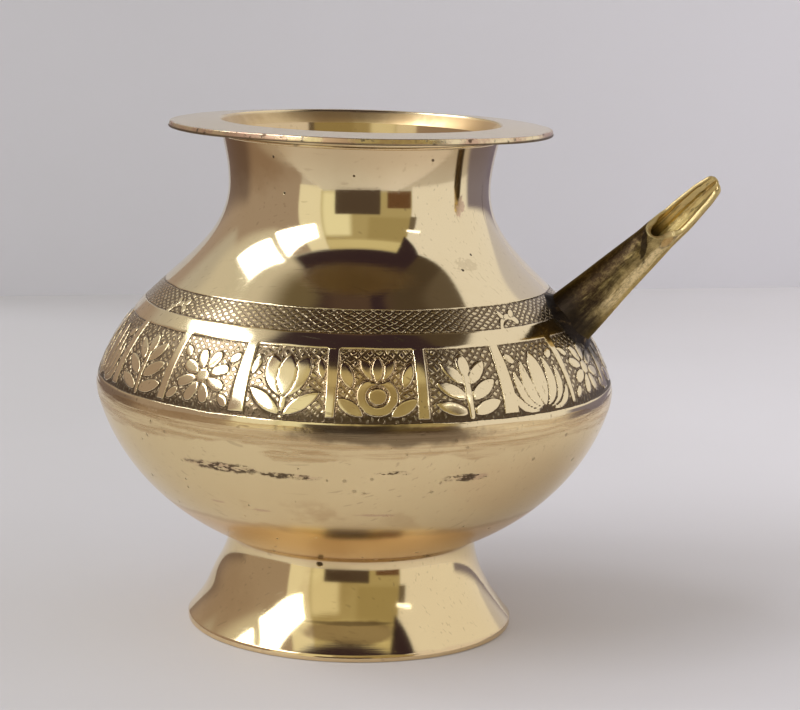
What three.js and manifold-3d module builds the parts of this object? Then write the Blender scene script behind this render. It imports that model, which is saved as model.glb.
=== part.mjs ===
// Spouted water pot in turned and brazed brass, in millimetres, +Z up.
// The pot stands on its foot at z = 0. The spout leans out over +X, and its scooped mouth
// is rolled towards -Y. Every shell of revolution shares the pot's upright axis.
import * as THREE from 'three';
import { mergeVertices } from 'three/addons/utils/BufferGeometryUtils.js';
import Module from 'manifold-3d';

const wasm = await Module();
wasm.setup();

// Driving dimensions of the foot
const footRadius = 34.3; // outer radius where the foot meets the floor
const footLipHeight = 1.3; // upright lip at the floor
const footNeckRadius = 26.1; // outer radius just under the bowl
const footWall = 1.8;
const footFlarePull = 3.7; // how far the flare runs on from the lip before it turns up
const footFlareSlope = 52; // degrees from upright of the flare above the lip
const footNeckPull = 4.4; // length of the upright run at the neck

// Driving dimensions of the bowl
const bowlClearance = 14.0; // floor to the lowest point of the bowl
const bowlDepth = 37.2; // lowest point of the bowl to the belly seam
const bellyRadius = 54.2; // largest outer radius, at the belly seam
const bellyUnderPull = 20.2; // length that the bowl keeps its slope under the seam
const bellyUnderSlope = 11.5; // degrees from upright, just under the seam
const bowlFloorPull = 30.2; // radius over which the bowl's floor stays nearly level

// Driving dimensions of the shoulder and neck
const shoulderHeight = 41.4; // belly seam to the narrowest part of the neck
const bellyOverPull = 22.1; // length that the shoulder keeps its slope over the seam
const bellyOverSlope = 14.3; // degrees from upright, just over the seam
const waistRadius = 27.2; // outer radius at the narrowest part of the neck
const waistUnderPull = 16.2; // upright run of the curve below the waist
const neckHeight = 12.1; // waist to the underside of the rim
const neckTopRadius = 29.3; // outer radius under the rim
const waistOverPull = 4.5; // upright run of the curve above the waist
const neckTopPull = 3.1; // length of the flare under the rim
const neckTopSlope = 15; // degrees from upright of the flare under the rim
const shellWall = 1.8; // wall of the bowl, shoulder and neck

// Driving dimensions of the rim
const rimRadius = 39.8;
const mouthRadius = 29.2;
const rimThickness = 1.3;
const rimDroop = 0.6; // how much lower the rim's outer edge lies than the mouth
const rimCollarHeight = 1.8; // collar under the rim, down to its joint with the neck
const rimFilletRadius = 0.7;
const mouthRoundDepth = 1.1; // depth of the rounded edge of the mouth

// Driving dimensions of the engraved band, each measured along the upright
const bandRise = 1.9; // belly seam to the lower edge of the cut ground
const groundHeight = 13.0; // cut ground that carries the raised ornament
const headBarHeight = 2.6; // smooth bar over the ground
const hatchStripHeight = 4.1; // hatched strip over the bar
const bandDepth = 0.35; // how deep the ground and the strip are cut
const bandShoulder = 0.3; // height over which each cut runs out

// Driving dimensions of the spout
const spoutRise = 15.9; // belly seam to the spout's axis where it leaves the shoulder
const spoutLean = 45.7; // degrees that the spout rises from level
const spoutRootRadius = 6.0;
const spoutTipRadius = 2.1;
const spoutLength = 40.8; // shoulder to tip, along the spout's axis
const spoutRootWall = 1.3;
const spoutTipWall = 1.0;
const spoutTail = 7; // length made inside the shoulder before it is trimmed to the wall
const scoopStart = 22.4; // shoulder to the heel of the scooped mouth
const scoopRoll = 50; // degrees that the scoop is rolled from upwards towards -Y
const scoopTipShare = 0.25; // how far past the axis the scoop cuts at the tip, in tip radii

// Driving dimensions of the joints
const jointGap = 0.3; // clearance between pieces that braze or solder holds together
const lapHeight = 2.8; // height of the bowl's spigot inside the shoulder
const lapWall = 1.2; // wall of that spigot
const joggleHeight = 3.0; // height over which the bowl's inner face steps in to the spigot
const rimLapHeight = 1.5; // height of the neck's spigot inside the rim's collar
const rimLapWall = 0.75; // wall of that spigot
const seamHalfWidth = 1.5; // half width of the groove that holds the belly braze
const seamDepth = 0.8; // depth of that groove
const footBeadRadius = 1.1; // leg of the brazed fillet between foot and bowl
const rimBeadSize = 0.9; // leg of the brazed bead in the groove under the rim's collar
const collarSpread = 1.9; // width of the brazed collar round the spout's root
const collarHeight = 1.1; // height of that collar above the shoulder

// Resolution
const sides = 56; // flats round each turned piece
const spoutSides = 32;
const outerSteps = 10;
const innerSteps = 7;
const roundSteps = 3;
const halvings = 50; // steps of the search for a point on an outline
const weldDistance = 1e-4; // vertices closer than this are one
const cutterOverrun = 1; // how far a cutting solid runs past the piece it cuts

// Heights worked out from the driving dimensions
const bellyZ = bowlClearance + bowlDepth;
const waistZ = bellyZ + shoulderHeight;
const rimUnderZ = waistZ + neckHeight;
const rimTopZ = rimUnderZ + rimThickness;
const rimJointZ = rimUnderZ - rimCollarHeight;

const brass = {
  polished: { color: 0xc9a75c, roughness: 0.16, metalness: 1.0 },
  engraved: { color: 0xb8964f, roughness: 0.3, metalness: 1.0 },
  braze: { color: 0xb98a4e, roughness: 0.34, metalness: 1.0 },
};

const radians = THREE.MathUtils.degToRad;
const point = (r, z) => new THREE.Vector2(r, z);

// A piece of outline that leaves its first end and reaches its last end along given handles
function outline(start, startHandle, endHandle, end) {
  return new THREE.CubicBezierCurve(start, startHandle, endHandle, end);
}

// Outer outlines, each from its lower end to its upper end
const footOutline = outline(
  point(footRadius, footLipHeight),
  point(
    footRadius - footFlarePull * Math.sin(radians(footFlareSlope)),
    footLipHeight + footFlarePull * Math.cos(radians(footFlareSlope)),
  ),
  point(footNeckRadius, bowlHeightAt(footNeckRadius) - jointGap - footNeckPull),
  point(footNeckRadius, bowlHeightAt(footNeckRadius) - jointGap),
);

function bowlOutline() {
  return outline(
    point(0, bowlClearance),
    point(bowlFloorPull, bowlClearance),
    point(
      bellyRadius - bellyUnderPull * Math.sin(radians(bellyUnderSlope)),
      bellyZ - bellyUnderPull * Math.cos(radians(bellyUnderSlope)),
    ),
    point(bellyRadius, bellyZ),
  );
}

function shoulderOutline() {
  return outline(
    point(bellyRadius, bellyZ),
    point(
      bellyRadius - bellyOverPull * Math.sin(radians(bellyOverSlope)),
      bellyZ + bellyOverPull * Math.cos(radians(bellyOverSlope)),
    ),
    point(waistRadius, waistZ - waistUnderPull),
    point(waistRadius, waistZ),
  );
}

function neckOutline() {
  return outline(
    point(waistRadius, waistZ),
    point(waistRadius, waistZ + waistOverPull),
    point(
      neckTopRadius - neckTopPull * Math.sin(radians(neckTopSlope)),
      rimUnderZ - neckTopPull * Math.cos(radians(neckTopSlope)),
    ),
    point(neckTopRadius, rimUnderZ),
  );
}

// The curve parameter at which one coordinate, rising along the curve, reaches a value
function parameterAt(curve, axis, value) {
  let low = 0;
  let high = 1;
  for (let i = 0; i < halvings; i += 1) {
    const middle = (low + high) / 2;
    if (curve.getPoint(middle)[axis] < value) low = middle;
    else high = middle;
  }
  return (low + high) / 2;
}

function bowlHeightAt(radius) {
  const curve = bowlOutline();
  return curve.getPoint(parameterAt(curve, 'x', radius)).y;
}

// A point on a rising outline at a given height, moved along its normal into the wall
function wallPoint(curve, height, depth) {
  const t = parameterAt(curve, 'y', height);
  const along = curve.getTangent(t);
  return curve.getPoint(t).add(point(-along.y, along.x).multiplyScalar(depth));
}

// Points along an outline between two heights, each at the same depth in the wall
function wallRun(curve, low, high, depth, steps) {
  const points = [];
  for (let i = 0; i <= steps; i += 1) {
    points.push(wallPoint(curve, low + ((high - low) * i) / steps, depth));
  }
  return points;
}

// Points at even steps of an outline's own parameter, for stretches that lie nearly level
function curveRun(curve, from, to, depth, steps) {
  const points = [];
  for (let i = 0; i <= steps; i += 1) {
    const t = from + ((to - from) * i) / steps;
    const along = curve.getTangent(t);
    points.push(curve.getPoint(t).add(point(-along.y, along.x).multiplyScalar(depth)));
  }
  return points;
}

function quarterRound(centre, radius, fromDegrees, toDegrees) {
  const points = [];
  for (let i = 0; i <= roundSteps; i += 1) {
    const angle = radians(fromDegrees + ((toDegrees - fromDegrees) * i) / roundSteps);
    points.push(point(centre.x + radius * Math.cos(angle), centre.y + radius * Math.sin(angle)));
  }
  return points;
}

// Closes a section given anticlockwise and turns it about the pot's axis, which becomes +Z
function turned(section) {
  const closed = [...section, section[0].clone()];
  return new THREE.LatheGeometry(closed, sides).rotateX(Math.PI / 2);
}

// A solid body of revolution out to an outline, for cutting other pieces by
function turnedCore(section) {
  const bottom = point(0, section[0].y);
  const top = point(0, section[section.length - 1].y);
  const outer = section.filter((p) => p.x > weldDistance);
  return new THREE.LatheGeometry([bottom, ...outer, top], sides).rotateX(Math.PI / 2);
}

function toSolid(geometry, matrix = new THREE.Matrix4()) {
  const bare = geometry.clone().applyMatrix4(matrix);
  bare.deleteAttribute('normal');
  bare.deleteAttribute('uv');
  const merged = mergeVertices(bare, weldDistance);
  return new wasm.Manifold(new wasm.Mesh({
    numProp: 3,
    vertProperties: new Float32Array(merged.attributes.position.array),
    triVerts: new Uint32Array(merged.index.array),
  }));
}

function toGeometry(solid) {
  const mesh = solid.getMesh();
  const geometry = new THREE.BufferGeometry();
  geometry.setAttribute('position', new THREE.BufferAttribute(mesh.vertProperties, 3));
  geometry.setIndex(new THREE.BufferAttribute(mesh.triVerts, 1));
  geometry.computeVertexNormals();
  return geometry;
}

// Foot: a flared skirt, open below, whose top edge follows the underside of the bowl
function footRing() {
  const outer = curveRun(footOutline, 0, 1, 0, outerSteps);
  const inner = curveRun(footOutline, 0, 1, footWall, innerSteps).slice(0, -1);
  const innerTopRadius = footNeckRadius - footWall;
  return turned([
    point(footRadius - footWall, 0),
    point(footRadius, 0),
    ...outer,
    point(innerTopRadius, bowlHeightAt(innerTopRadius) - jointGap),
    ...inner.filter((p) => p.y > footLipHeight).reverse(),
  ]);
}

// Bowl: the lower half, whose edge steps in and rises as a spigot inside the shoulder
function bowlShell() {
  const curve = bowlOutline();
  const shoulder = shoulderOutline();
  const grooveT = parameterAt(curve, 'y', bellyZ - seamHalfWidth);
  const joggleT = parameterAt(curve, 'y', bellyZ - joggleHeight);
  const outer = curveRun(curve, 0, grooveT, 0, outerSteps);
  const inner = curveRun(curve, 0, joggleT, shellWall, innerSteps);
  const lapDepth = shellWall + jointGap;
  return turned([
    ...outer,
    wallPoint(curve, bellyZ - seamHalfWidth, seamDepth),
    point(bellyRadius - seamDepth, bellyZ - jointGap / 2),
    point(bellyRadius - lapDepth, bellyZ - jointGap / 2),
    wallPoint(shoulder, bellyZ + lapHeight, lapDepth),
    wallPoint(shoulder, bellyZ + lapHeight, lapDepth + lapWall),
    point(bellyRadius - lapDepth - lapWall, bellyZ - jointGap / 2),
    ...inner.reverse(),
  ]);
}

// Outer points of the shoulder, with the hatched strip and the ground cut below the surface
function engravedShoulder(curve) {
  const groundLow = bellyZ + bandRise;
  const groundHigh = groundLow + groundHeight;
  const stripLow = groundHigh + headBarHeight;
  const stripHigh = stripLow + hatchStripHeight;
  return [
    ...wallRun(curve, bellyZ + seamHalfWidth, groundLow, 0, 1),
    ...wallRun(curve, groundLow + bandShoulder, groundHigh - bandShoulder, bandDepth, 2),
    ...wallRun(curve, groundHigh, stripLow, 0, 1),
    ...wallRun(curve, stripLow + bandShoulder, stripHigh - bandShoulder, bandDepth, 1),
    ...wallRun(curve, stripHigh, waistZ - jointGap, 0, innerSteps),
  ];
}

// Inner surface shared by the shoulder and the neck, from the belly seam up to the rim
function innerSurface() {
  const shoulder = shoulderOutline();
  const neck = neckOutline();
  return [
    point(bellyRadius - shellWall, bellyZ + jointGap / 2),
    ...wallRun(shoulder, bellyZ + shellWall, waistZ - jointGap, shellWall, outerSteps),
    ...wallRun(neck, waistZ + jointGap, rimJointZ, shellWall, roundSteps),
  ];
}

// Shoulder and neck in one shell, pierced for the spout
function shoulderShell() {
  const neck = neckOutline();
  const inner = innerSurface();
  const spigotInner = inner[inner.length - 1];
  const neckEdge = wallPoint(neck, rimJointZ - jointGap, 0);
  const spigotOuter = spigotInner.x + rimLapWall;
  const section = [
    point(bellyRadius - seamDepth, bellyZ + jointGap / 2),
    wallPoint(shoulderOutline(), bellyZ + seamHalfWidth, seamDepth),
    ...engravedShoulder(shoulderOutline()),
    ...wallRun(neck, waistZ + jointGap, rimJointZ - jointGap - rimBeadSize, 0, roundSteps),
    point(neckEdge.x - rimBeadSize, rimJointZ - jointGap),
    point(spigotOuter, rimJointZ - jointGap),
    point(spigotOuter, rimJointZ + rimLapHeight),
    point(spigotInner.x, rimJointZ + rimLapHeight),
    ...inner.reverse(),
  ];
  return toSolid(turned(section)).subtract(spoutCone(jointGap, spoutTail));
}

// Rim: a thin drooping flange with a short collar that laps over the neck's spigot
function rimFlange() {
  const neck = neckOutline();
  const boreRadius = wallPoint(neck, rimJointZ, shellWall).x;
  const lapRadius = boreRadius + rimLapWall + jointGap;
  const collarFoot = wallPoint(neck, rimJointZ, 0);
  const filletCentre = point(neckTopRadius + rimFilletRadius, rimUnderZ - rimFilletRadius);
  const lapTop = rimJointZ + rimLapHeight + jointGap;
  return turned([
    point(lapRadius, rimJointZ),
    point(collarFoot.x, rimJointZ),
    ...quarterRound(filletCentre, rimFilletRadius, 180, 90),
    point(rimRadius, rimUnderZ - rimDroop),
    point(rimRadius, rimTopZ - rimDroop),
    ...mouthEdge(boreRadius),
    point(boreRadius, lapTop),
    point(lapRadius, lapTop),
  ]);
}

// Rounded edge of the mouth, level with the top of the rim and upright where it meets the bore
function mouthEdge(boreRadius) {
  const points = [];
  for (let i = 0; i <= roundSteps; i += 1) {
    const reach = Math.cos((Math.PI / 2) * (i / roundSteps));
    points.push(point(
      boreRadius + (mouthRadius - boreRadius) * reach,
      rimTopZ - mouthRoundDepth * (1 - Math.sqrt(reach)),
    ));
  }
  return points;
}

// Braze in the belly seam: a band that fills the groove and lies flush with the belly
function bellyBraze() {
  const half = seamHalfWidth - jointGap;
  const depth = seamDepth - jointGap;
  return turned([
    wallPoint(bowlOutline(), bellyZ - half, depth),
    wallPoint(bowlOutline(), bellyZ - half, 0),
    point(bellyRadius, bellyZ),
    wallPoint(shoulderOutline(), bellyZ + half, 0),
    wallPoint(shoulderOutline(), bellyZ + half, depth),
    point(bellyRadius - depth, bellyZ),
  ]);
}

// Braze in the corner between the foot's neck and the underside of the bowl
function footBraze() {
  const inner = footNeckRadius + jointGap;
  const outer = inner + footBeadRadius;
  const drop = Math.SQRT2 * jointGap; // clears the bowl's slope by the gap
  return turned([
    point(inner, bowlHeightAt(inner) - jointGap - footBeadRadius),
    point(outer, bowlHeightAt(outer) - drop),
    point(inner, bowlHeightAt(inner) - drop),
  ]);
}

// Braze in the groove under the rim's collar
function rimBraze() {
  const neck = neckOutline();
  const top = rimJointZ - jointGap;
  const leg = rimBeadSize - Math.SQRT2 * jointGap;
  const edge = wallPoint(neck, top, 0);
  return turned([point(edge.x - leg, top), wallPoint(neck, top - leg, 0), edge]);
}

// Frame of the spout: its own Y along the axis from the shoulder, Z up across the axis
function spoutFrame() {
  const curve = shoulderOutline();
  const rootZ = bellyZ + spoutRise;
  const rootX = curve.getPoint(parameterAt(curve, 'y', rootZ)).x;
  const lean = radians(spoutLean);
  const along = new THREE.Vector3(Math.cos(lean), 0, Math.sin(lean));
  const across = new THREE.Vector3(-Math.sin(lean), 0, Math.cos(lean));
  const side = new THREE.Vector3().crossVectors(along, across);
  return new THREE.Matrix4().makeBasis(side, along, across).setPosition(rootX, 0, rootZ);
}

// Tapered solid round the spout's axis, from inside the shoulder out to the tip
function taper(rootRadius, tipRadius, tail, reach) {
  const slope = (rootRadius - tipRadius) / spoutLength;
  const geometry = new THREE.CylinderGeometry(
    tipRadius - slope * (reach - spoutLength),
    rootRadius + slope * tail,
    reach + tail,
    spoutSides,
  );
  geometry.translate(0, (reach - tail) / 2, 0);
  return toSolid(geometry, spoutFrame());
}

function spoutCone(extra, tail) {
  return taper(spoutRootRadius + extra, spoutTipRadius + extra, tail, spoutLength);
}

function spoutBore() {
  return taper(
    spoutRootRadius - spoutRootWall,
    spoutTipRadius - spoutTipWall,
    spoutTail + cutterOverrun,
    spoutLength + cutterOverrun,
  );
}

// Block that scoops the mouth: its underside runs from the heel down across the tip, and it is
// wider and longer than what it cuts away
function scoopBlock() {
  const heelRadius = THREE.MathUtils.lerp(
    spoutRootRadius,
    spoutTipRadius,
    scoopStart / spoutLength,
  );
  const roll = radians(scoopRoll);
  const outward = new THREE.Vector3(Math.sin(roll), 0, Math.cos(roll));
  const heel = outward.clone().multiplyScalar(heelRadius).setY(scoopStart);
  const tip = outward.clone().multiplyScalar(-scoopTipShare * spoutTipRadius).setY(spoutLength);
  const along = tip.clone().sub(heel).normalize();
  const beside = new THREE.Vector3().crossVectors(along, outward).normalize();
  const normal = new THREE.Vector3().crossVectors(beside, along);
  const length = 2 * (spoutLength - scoopStart);
  const width = 4 * spoutRootRadius;
  const centre = heel.clone().addScaledVector(along, length / 2).addScaledVector(normal, width / 2);
  const place = new THREE.Matrix4().makeBasis(beside, along, normal).setPosition(centre);
  const box = new THREE.BoxGeometry(width, length, width);
  return toSolid(box, spoutFrame().multiply(place));
}

// Spout: a tapered tube through the shoulder, trimmed flush with the inner wall
function spoutTube() {
  const inside = toSolid(turnedCore(innerSurface()));
  return spoutCone(0, spoutTail).subtract(spoutBore()).subtract(inside).subtract(scoopBlock());
}

// The shoulder's outside as a solid, swelled by a given amount
function swelledShoulder(amount) {
  const curve = shoulderOutline();
  return toSolid(turnedCore(wallRun(curve, bellyZ, waistZ - jointGap, -amount, 2 * outerSteps)));
}

// Braze round the spout's root: a collar that follows the shoulder
function spoutBraze() {
  return spoutCone(collarSpread, spoutTail)
    .intersect(swelledShoulder(jointGap + collarHeight))
    .subtract(swelledShoulder(jointGap))
    .subtract(spoutCone(jointGap, spoutTail));
}

function piece(name, shape, finish) {
  const geometry = shape.isBufferGeometry ? shape : toGeometry(shape);
  const mesh = new THREE.Mesh(geometry, new THREE.MeshStandardMaterial(finish));
  mesh.name = name;
  return mesh;
}

const pot = new THREE.Group();
pot.add(
  piece('foot_ring', footRing(), brass.polished),
  piece('foot_braze', footBraze(), brass.braze),
  piece('bowl_shell', bowlShell(), brass.polished),
  piece('belly_braze', bellyBraze(), brass.braze),
  piece('shoulder_shell', shoulderShell(), brass.engraved),
  piece('spout_tube', spoutTube(), brass.polished),
  piece('spout_braze', spoutBraze(), brass.braze),
  piece('rim_flange', rimFlange(), brass.polished),
  piece('rim_braze', rimBraze(), brass.braze),
);

// The part's origin lies on the floor, under the middle of its outer box
const outerBox = new THREE.Box3().setFromObject(pot, true);
pot.position.x = -(outerBox.min.x + outerBox.max.x) / 2;

export default pot;
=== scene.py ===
"""Spouted water pot in polished and engraved brass: turned shells, a chased band and a scooped spout.

Lengths are in millimetres about the pot's upright axis until a mesh is made, and angles in degrees.
An outline is a row of points (radius, height), and a turn is an angle round an axis in radians.
"""

import math

import bmesh
import bpy
import numpy as np
from mathutils import Matrix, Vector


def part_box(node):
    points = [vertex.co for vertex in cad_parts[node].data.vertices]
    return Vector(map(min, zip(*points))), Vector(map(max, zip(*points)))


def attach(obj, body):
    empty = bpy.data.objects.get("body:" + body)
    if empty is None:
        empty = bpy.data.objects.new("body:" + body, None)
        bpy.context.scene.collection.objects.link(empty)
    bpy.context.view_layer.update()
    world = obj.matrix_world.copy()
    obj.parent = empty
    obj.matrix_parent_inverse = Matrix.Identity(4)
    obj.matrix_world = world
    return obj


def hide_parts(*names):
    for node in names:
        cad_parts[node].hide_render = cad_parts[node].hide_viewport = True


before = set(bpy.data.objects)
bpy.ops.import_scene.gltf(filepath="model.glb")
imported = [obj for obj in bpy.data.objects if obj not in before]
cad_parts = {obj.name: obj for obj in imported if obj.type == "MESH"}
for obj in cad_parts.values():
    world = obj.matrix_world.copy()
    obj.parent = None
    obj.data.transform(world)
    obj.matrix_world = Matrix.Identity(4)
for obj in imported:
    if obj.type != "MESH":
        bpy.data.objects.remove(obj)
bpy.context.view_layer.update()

MM = 0.001
FULL_TURN = 2 * math.pi


def box_mm(node):
    """The lowest and the highest corner of a CAD node, in millimetres, as two rows."""
    return np.array([list(corner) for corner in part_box(node)]) / MM


# Sizes that the frame gives
JOINT_GAP = 0.3
BELLY_PROUD = 0.15
foot_box, seam_box, rim_box = box_mm("foot_ring"), box_mm("belly_braze"), box_mm("rim_flange")
AXIS_X = foot_box[:, 0].mean()
FOOT_RADIUS = np.ptp(foot_box[:, 0]) / 2
BOWL_Z = box_mm("bowl_shell")[0, 2]
BELLY_RADIUS = np.ptp(seam_box[:, 0]) / 2 + BELLY_PROUD
BELLY_Z = box_mm("shoulder_shell")[0, 2] - JOINT_GAP / 2
RIM_RADIUS = np.ptp(rim_box[:, 0]) / 2
RIM_JOINT_Z, RIM_TOP_Z = rim_box[:, 2]

# Outline of the foot
FOOT_LIP_HEIGHT = 1.3
FOOT_NECK_RADIUS = 26.1
FOOT_FLARE_PULL = 8.0
FOOT_FLARE_SLOPE = 40
FOOT_NECK_PULL = 6.0
FOOT_EDGE_ROUND = 0.35
SWELL_AMOUNT = 0.85
SWELL_HEIGHT = 10.5
SWELL_REACH = 4.2

# Outline of the bowl, the shoulder and the neck
BOWL_FLOOR_PULL = 30.2
BELLY_UNDER_PULL = 20.2
BELLY_UNDER_SLOPE = 11.5
BELLY_OVER_PULL = 22.1
BELLY_OVER_SLOPE = 14.3
BELLY_EASE = 2.6
WAIST_Z = BELLY_Z + 41.4
WAIST_RADIUS = 27.2
WAIST_UNDER_PULL = 16.2
WAIST_OVER_PULL = 4.5
RIM_UNDER_Z = WAIST_Z + 12.1
NECK_TOP_RADIUS = 29.3
NECK_TOP_PULL = 3.1
NECK_TOP_SLOPE = 15
SHELL_WALL = 1.8
WOBBLE_FADE = 10

# Rim
MOUTH_RADIUS = 29.2
MOUTH_ROUND = 0.3
RIM_THICKNESS = 1.3
RIM_DROOP = 0.6
RIM_FILLET = 1.3
RIM_EDGE_ROUND = 0.3
RIM_FACE_LEAN = 15
RIM_FRONT_LIFT = 0.55

# Engraved band, each height measured along the upright
GROUND_LOW_Z = BELLY_Z + 1.9
GROUND_HIGH_Z = GROUND_LOW_Z + 13.0
BAR_HIGH_Z = GROUND_HIGH_Z + 2.6
STRIP_HIGH_Z = BAR_HIGH_Z + 4.1
GROUND_DEPTH = 0.16
STRIP_DEPTH = 0.07
FRINGE_HEIGHT = 1.9
EDGE_WAVER = 0.14
GROUND_GRAIN = 0.02
JITTER_SEED = 7
WAVER_SEED = 3
GRAIN_SEED = 11
PANELS = 18
BAR_HALF_WIDTH = 1.15
LAYER_GROOVE = 0.3
FAR = 9.0
EYE_HEIGHT = 5.3
EYE_INNER = 1.7
EYE_OUTER = 2.15

# Spout
SPOUT_RISE = 15.9
SPOUT_LIFT = 0.6
SPOUT_LEAN = 45.7
SPOUT_ROOT_RADIUS = 6.0
SPOUT_TIP_RADIUS = 2.1
SPOUT_LENGTH = 40.8
SPOUT_ROOT_WALL = 1.3
SPOUT_LIP_WALL = 0.95
SPOUT_LIP_SPREAD = 0.35
SPOUT_NEAR_LIP = 0.9
SPOUT_FLARE = 0.5
SPOUT_TAIL = 4.5
SCOOP_START = 24.6
SCOOP_HEEL = 5.4
SCOOP_HEEL_FILL = 1.0
SCOOP_LIP_ANGLE = 90
SCOOP_ROLL = 65
SCOOP_BLUNT = 1.2
SCOOP_FAR_REACH = 0.9
COLLAR_SPREAD = 1.9
COLLAR_HEIGHT = 1.1
COLLAR_ROWS = 14
SPOUT_SEARCH = 12.0

# Braze
SEAM_HALF_WIDTH = 1.0
SEAM_PROUD = 0.07
FOOT_BEAD = 0.75
RIM_BEAD = 0.4

# Resolution
OUTLINE_POINTS = 600
OUTER_ROWS = 150
INNER_ROWS = 60
SHELL_COLUMNS = 288
BAND_COLUMNS = 1152
BAND_ROWS = 76
SPOUT_COLUMNS = 200
SPOUT_ROWS = 150
LIP_ROWS = 10
FOOT_ROWS = 90
SEAM_ROWS = 25
EASE_STEPS = 20
EDGE_POINTS = 60
STROKE_POINTS = 22
HALVINGS = 40
POLE_MERGE = 0.0005
SHARP_EDGE = 50

# Camera, as the photograph was taken, and the azimuths of the pot's front and of its left side
CAMERA_LENS = 107.7
FILM_WIDTH = 36
CAMERA_TURN = 14.0
CAMERA_SIDE = 9.34
CAMERA_DISTANCE = 496.2
CAMERA_HEIGHT = 145.3
CAMERA_PITCH = 10.096
CAMERA_ROLL = 1.633
FRONT_TURN = CAMERA_TURN - 90
SWELL_TURN = CAMERA_TURN - 180

# Metal colours
BRASS = (0.88, 0.735, 0.465)
BRASS_WARM = (0.86, 0.685, 0.385)
BRASS_DEEP = (0.78, 0.60, 0.33)
SPOUT_GOLD = (0.64, 0.49, 0.21)
SPOUT_DULL = (0.33, 0.245, 0.10)
SPOUT_RUBBED = (0.80, 0.635, 0.33)
SPOUT_LIP = (0.70, 0.55, 0.27)
SPOUT_EDGE = (0.80, 0.66, 0.42)
SPOUT_SPECK = (0.20, 0.14, 0.055)
# Colour of painted dark reflection streaks in the spout's bore
SPOUT_BORE_REFLECTION = (0.12, 0.085, 0.03)
# Painted dark reflection colours, for the belly's front and the foot's front
DARK_REFLECTION = (0.15, 0.10, 0.055)
FOOT_DARK_REFLECTION = (0.27, 0.165, 0.10)
CUT_LINE = (0.155, 0.10, 0.055)
HEAT_TINT = (0.80, 0.52, 0.26)
THROAT_TINT = (0.72, 0.53, 0.27)
COPPER_TINT = (0.58, 0.36, 0.25)
BUFFED_TINT = (0.54, 0.355, 0.17)
TARNISH = (0.30, 0.215, 0.11)
RUN_BROWN = (0.16, 0.08, 0.045)
PIT_BROWN = (0.075, 0.045, 0.025)
PATINA = (0.055, 0.034, 0.018)
SOOT = (0.030, 0.022, 0.017)


def sine(degrees):
    return math.sin(math.radians(degrees))


def cosine(degrees):
    return math.cos(math.radians(degrees))


# Curves and outlines


def bezier(t, *points):
    """The Bezier curve of some points: neighbours are mixed by the shares 1 - t and t until one is left."""
    points = [np.asarray(point, float) for point in points]
    while len(points) > 1:
        points = [(1 - t) * a + t * b for a, b in zip(points, points[1:])]
    return points[0]


def curved(count, *points):
    """An outline of a count of points along a Bezier curve."""
    return bezier(np.linspace(0, 1, count)[:, None], *points)


def arc(centre, radius, start, end, count):
    """Points on a circle between two angles."""
    angle = np.radians(np.linspace(start, end, count))
    return np.column_stack([centre[0] + radius * np.cos(angle), centre[1] + radius * np.sin(angle)])


def leaned(point, length, slope):
    """The point that lies a length from another, along an upright that leans inwards by a slope."""
    return point[0] - length * sine(slope), point[1] + length * cosine(slope)


def radius_at(points, height):
    """The radius of a rising outline at a height."""
    return np.interp(height, points[:, 1], points[:, 0])


def height_at(points, radius):
    """The height of a widening outline at a radius."""
    return np.interp(radius, points[:, 0], points[:, 1])


def lengths_along(points):
    """Distance from the first point to each point, summed along the polyline."""
    steps = np.linalg.norm(np.diff(points, axis=0), axis=1)
    return np.concatenate([[0.0], np.cumsum(steps)])


def evenly(points, count):
    """The polyline taken again at a count of points, spaced evenly along its length."""
    along = lengths_along(points)
    wanted = np.linspace(0, along[-1], count)
    return np.column_stack([np.interp(wanted, along, points[:, k]) for k in (0, 1)])


def outward_normals(points):
    """Unit normals of a rising outline: its direction turned a quarter turn away from the axis."""
    along = np.gradient(points, axis=0)
    along /= np.linalg.norm(along, axis=1, keepdims=True)
    return np.column_stack([along[:, 1], -along[:, 0]])


def inset(points, depth):
    """The outline moved along its normals into the wall."""
    return points - outward_normals(points) * depth


def between(points, low, high):
    """The stretch of a rising outline between two heights, with its ends exactly on them."""
    middle = points[(points[:, 1] > low) & (points[:, 1] < high)]
    return np.vstack([[radius_at(points, low), low], middle, [radius_at(points, high), high]])


def eased(below, above, reach):
    """Two outlines that met at a corner, meeting on a quadratic curve that reaches a length along each."""
    kept_below = below[lengths_along(below) < lengths_along(below)[-1] - reach]
    kept_above = above[lengths_along(above) > reach]
    curve = curved(2 * EASE_STEPS + 1, kept_below[-1], below[-1], kept_above[0])
    low_half, high_half = curve[: EASE_STEPS + 1], curve[EASE_STEPS:]
    return np.vstack([kept_below[:-1], low_half]), np.vstack([high_half, kept_above[1:]])


def waves(turn, *terms):
    """A sum of sine waves of a turn, each given by its height, its count and its phase."""
    return sum(height * np.sin(count * turn + phase) for height, count, phase in terms)


def hand_wobble(turn, height):
    """How far the shell stands off its true radius: a few waves round the axis that drift with height."""
    return waves(
        turn, (0.060, 2, 0.6 + 0.021 * height), (0.040, 3, 1.9 - 0.050 * height),
        (0.018, 5, 4.1 + 0.110 * height), (0.012, 8, 0.3 - 0.170 * height),
    )


def bell(value, middle, reach):
    """A bell curve: e to the power of less the square of the distance from the middle over the reach."""
    return np.exp(-(((value - middle) / reach) ** 2))


def smooth_step(value, low, high):
    """Rises from 0 at low to 1 at high along 3 t squared less 2 t cubed."""
    t = np.clip((value - low) / (high - low), 0, 1)
    return t * t * (3 - 2 * t)


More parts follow.
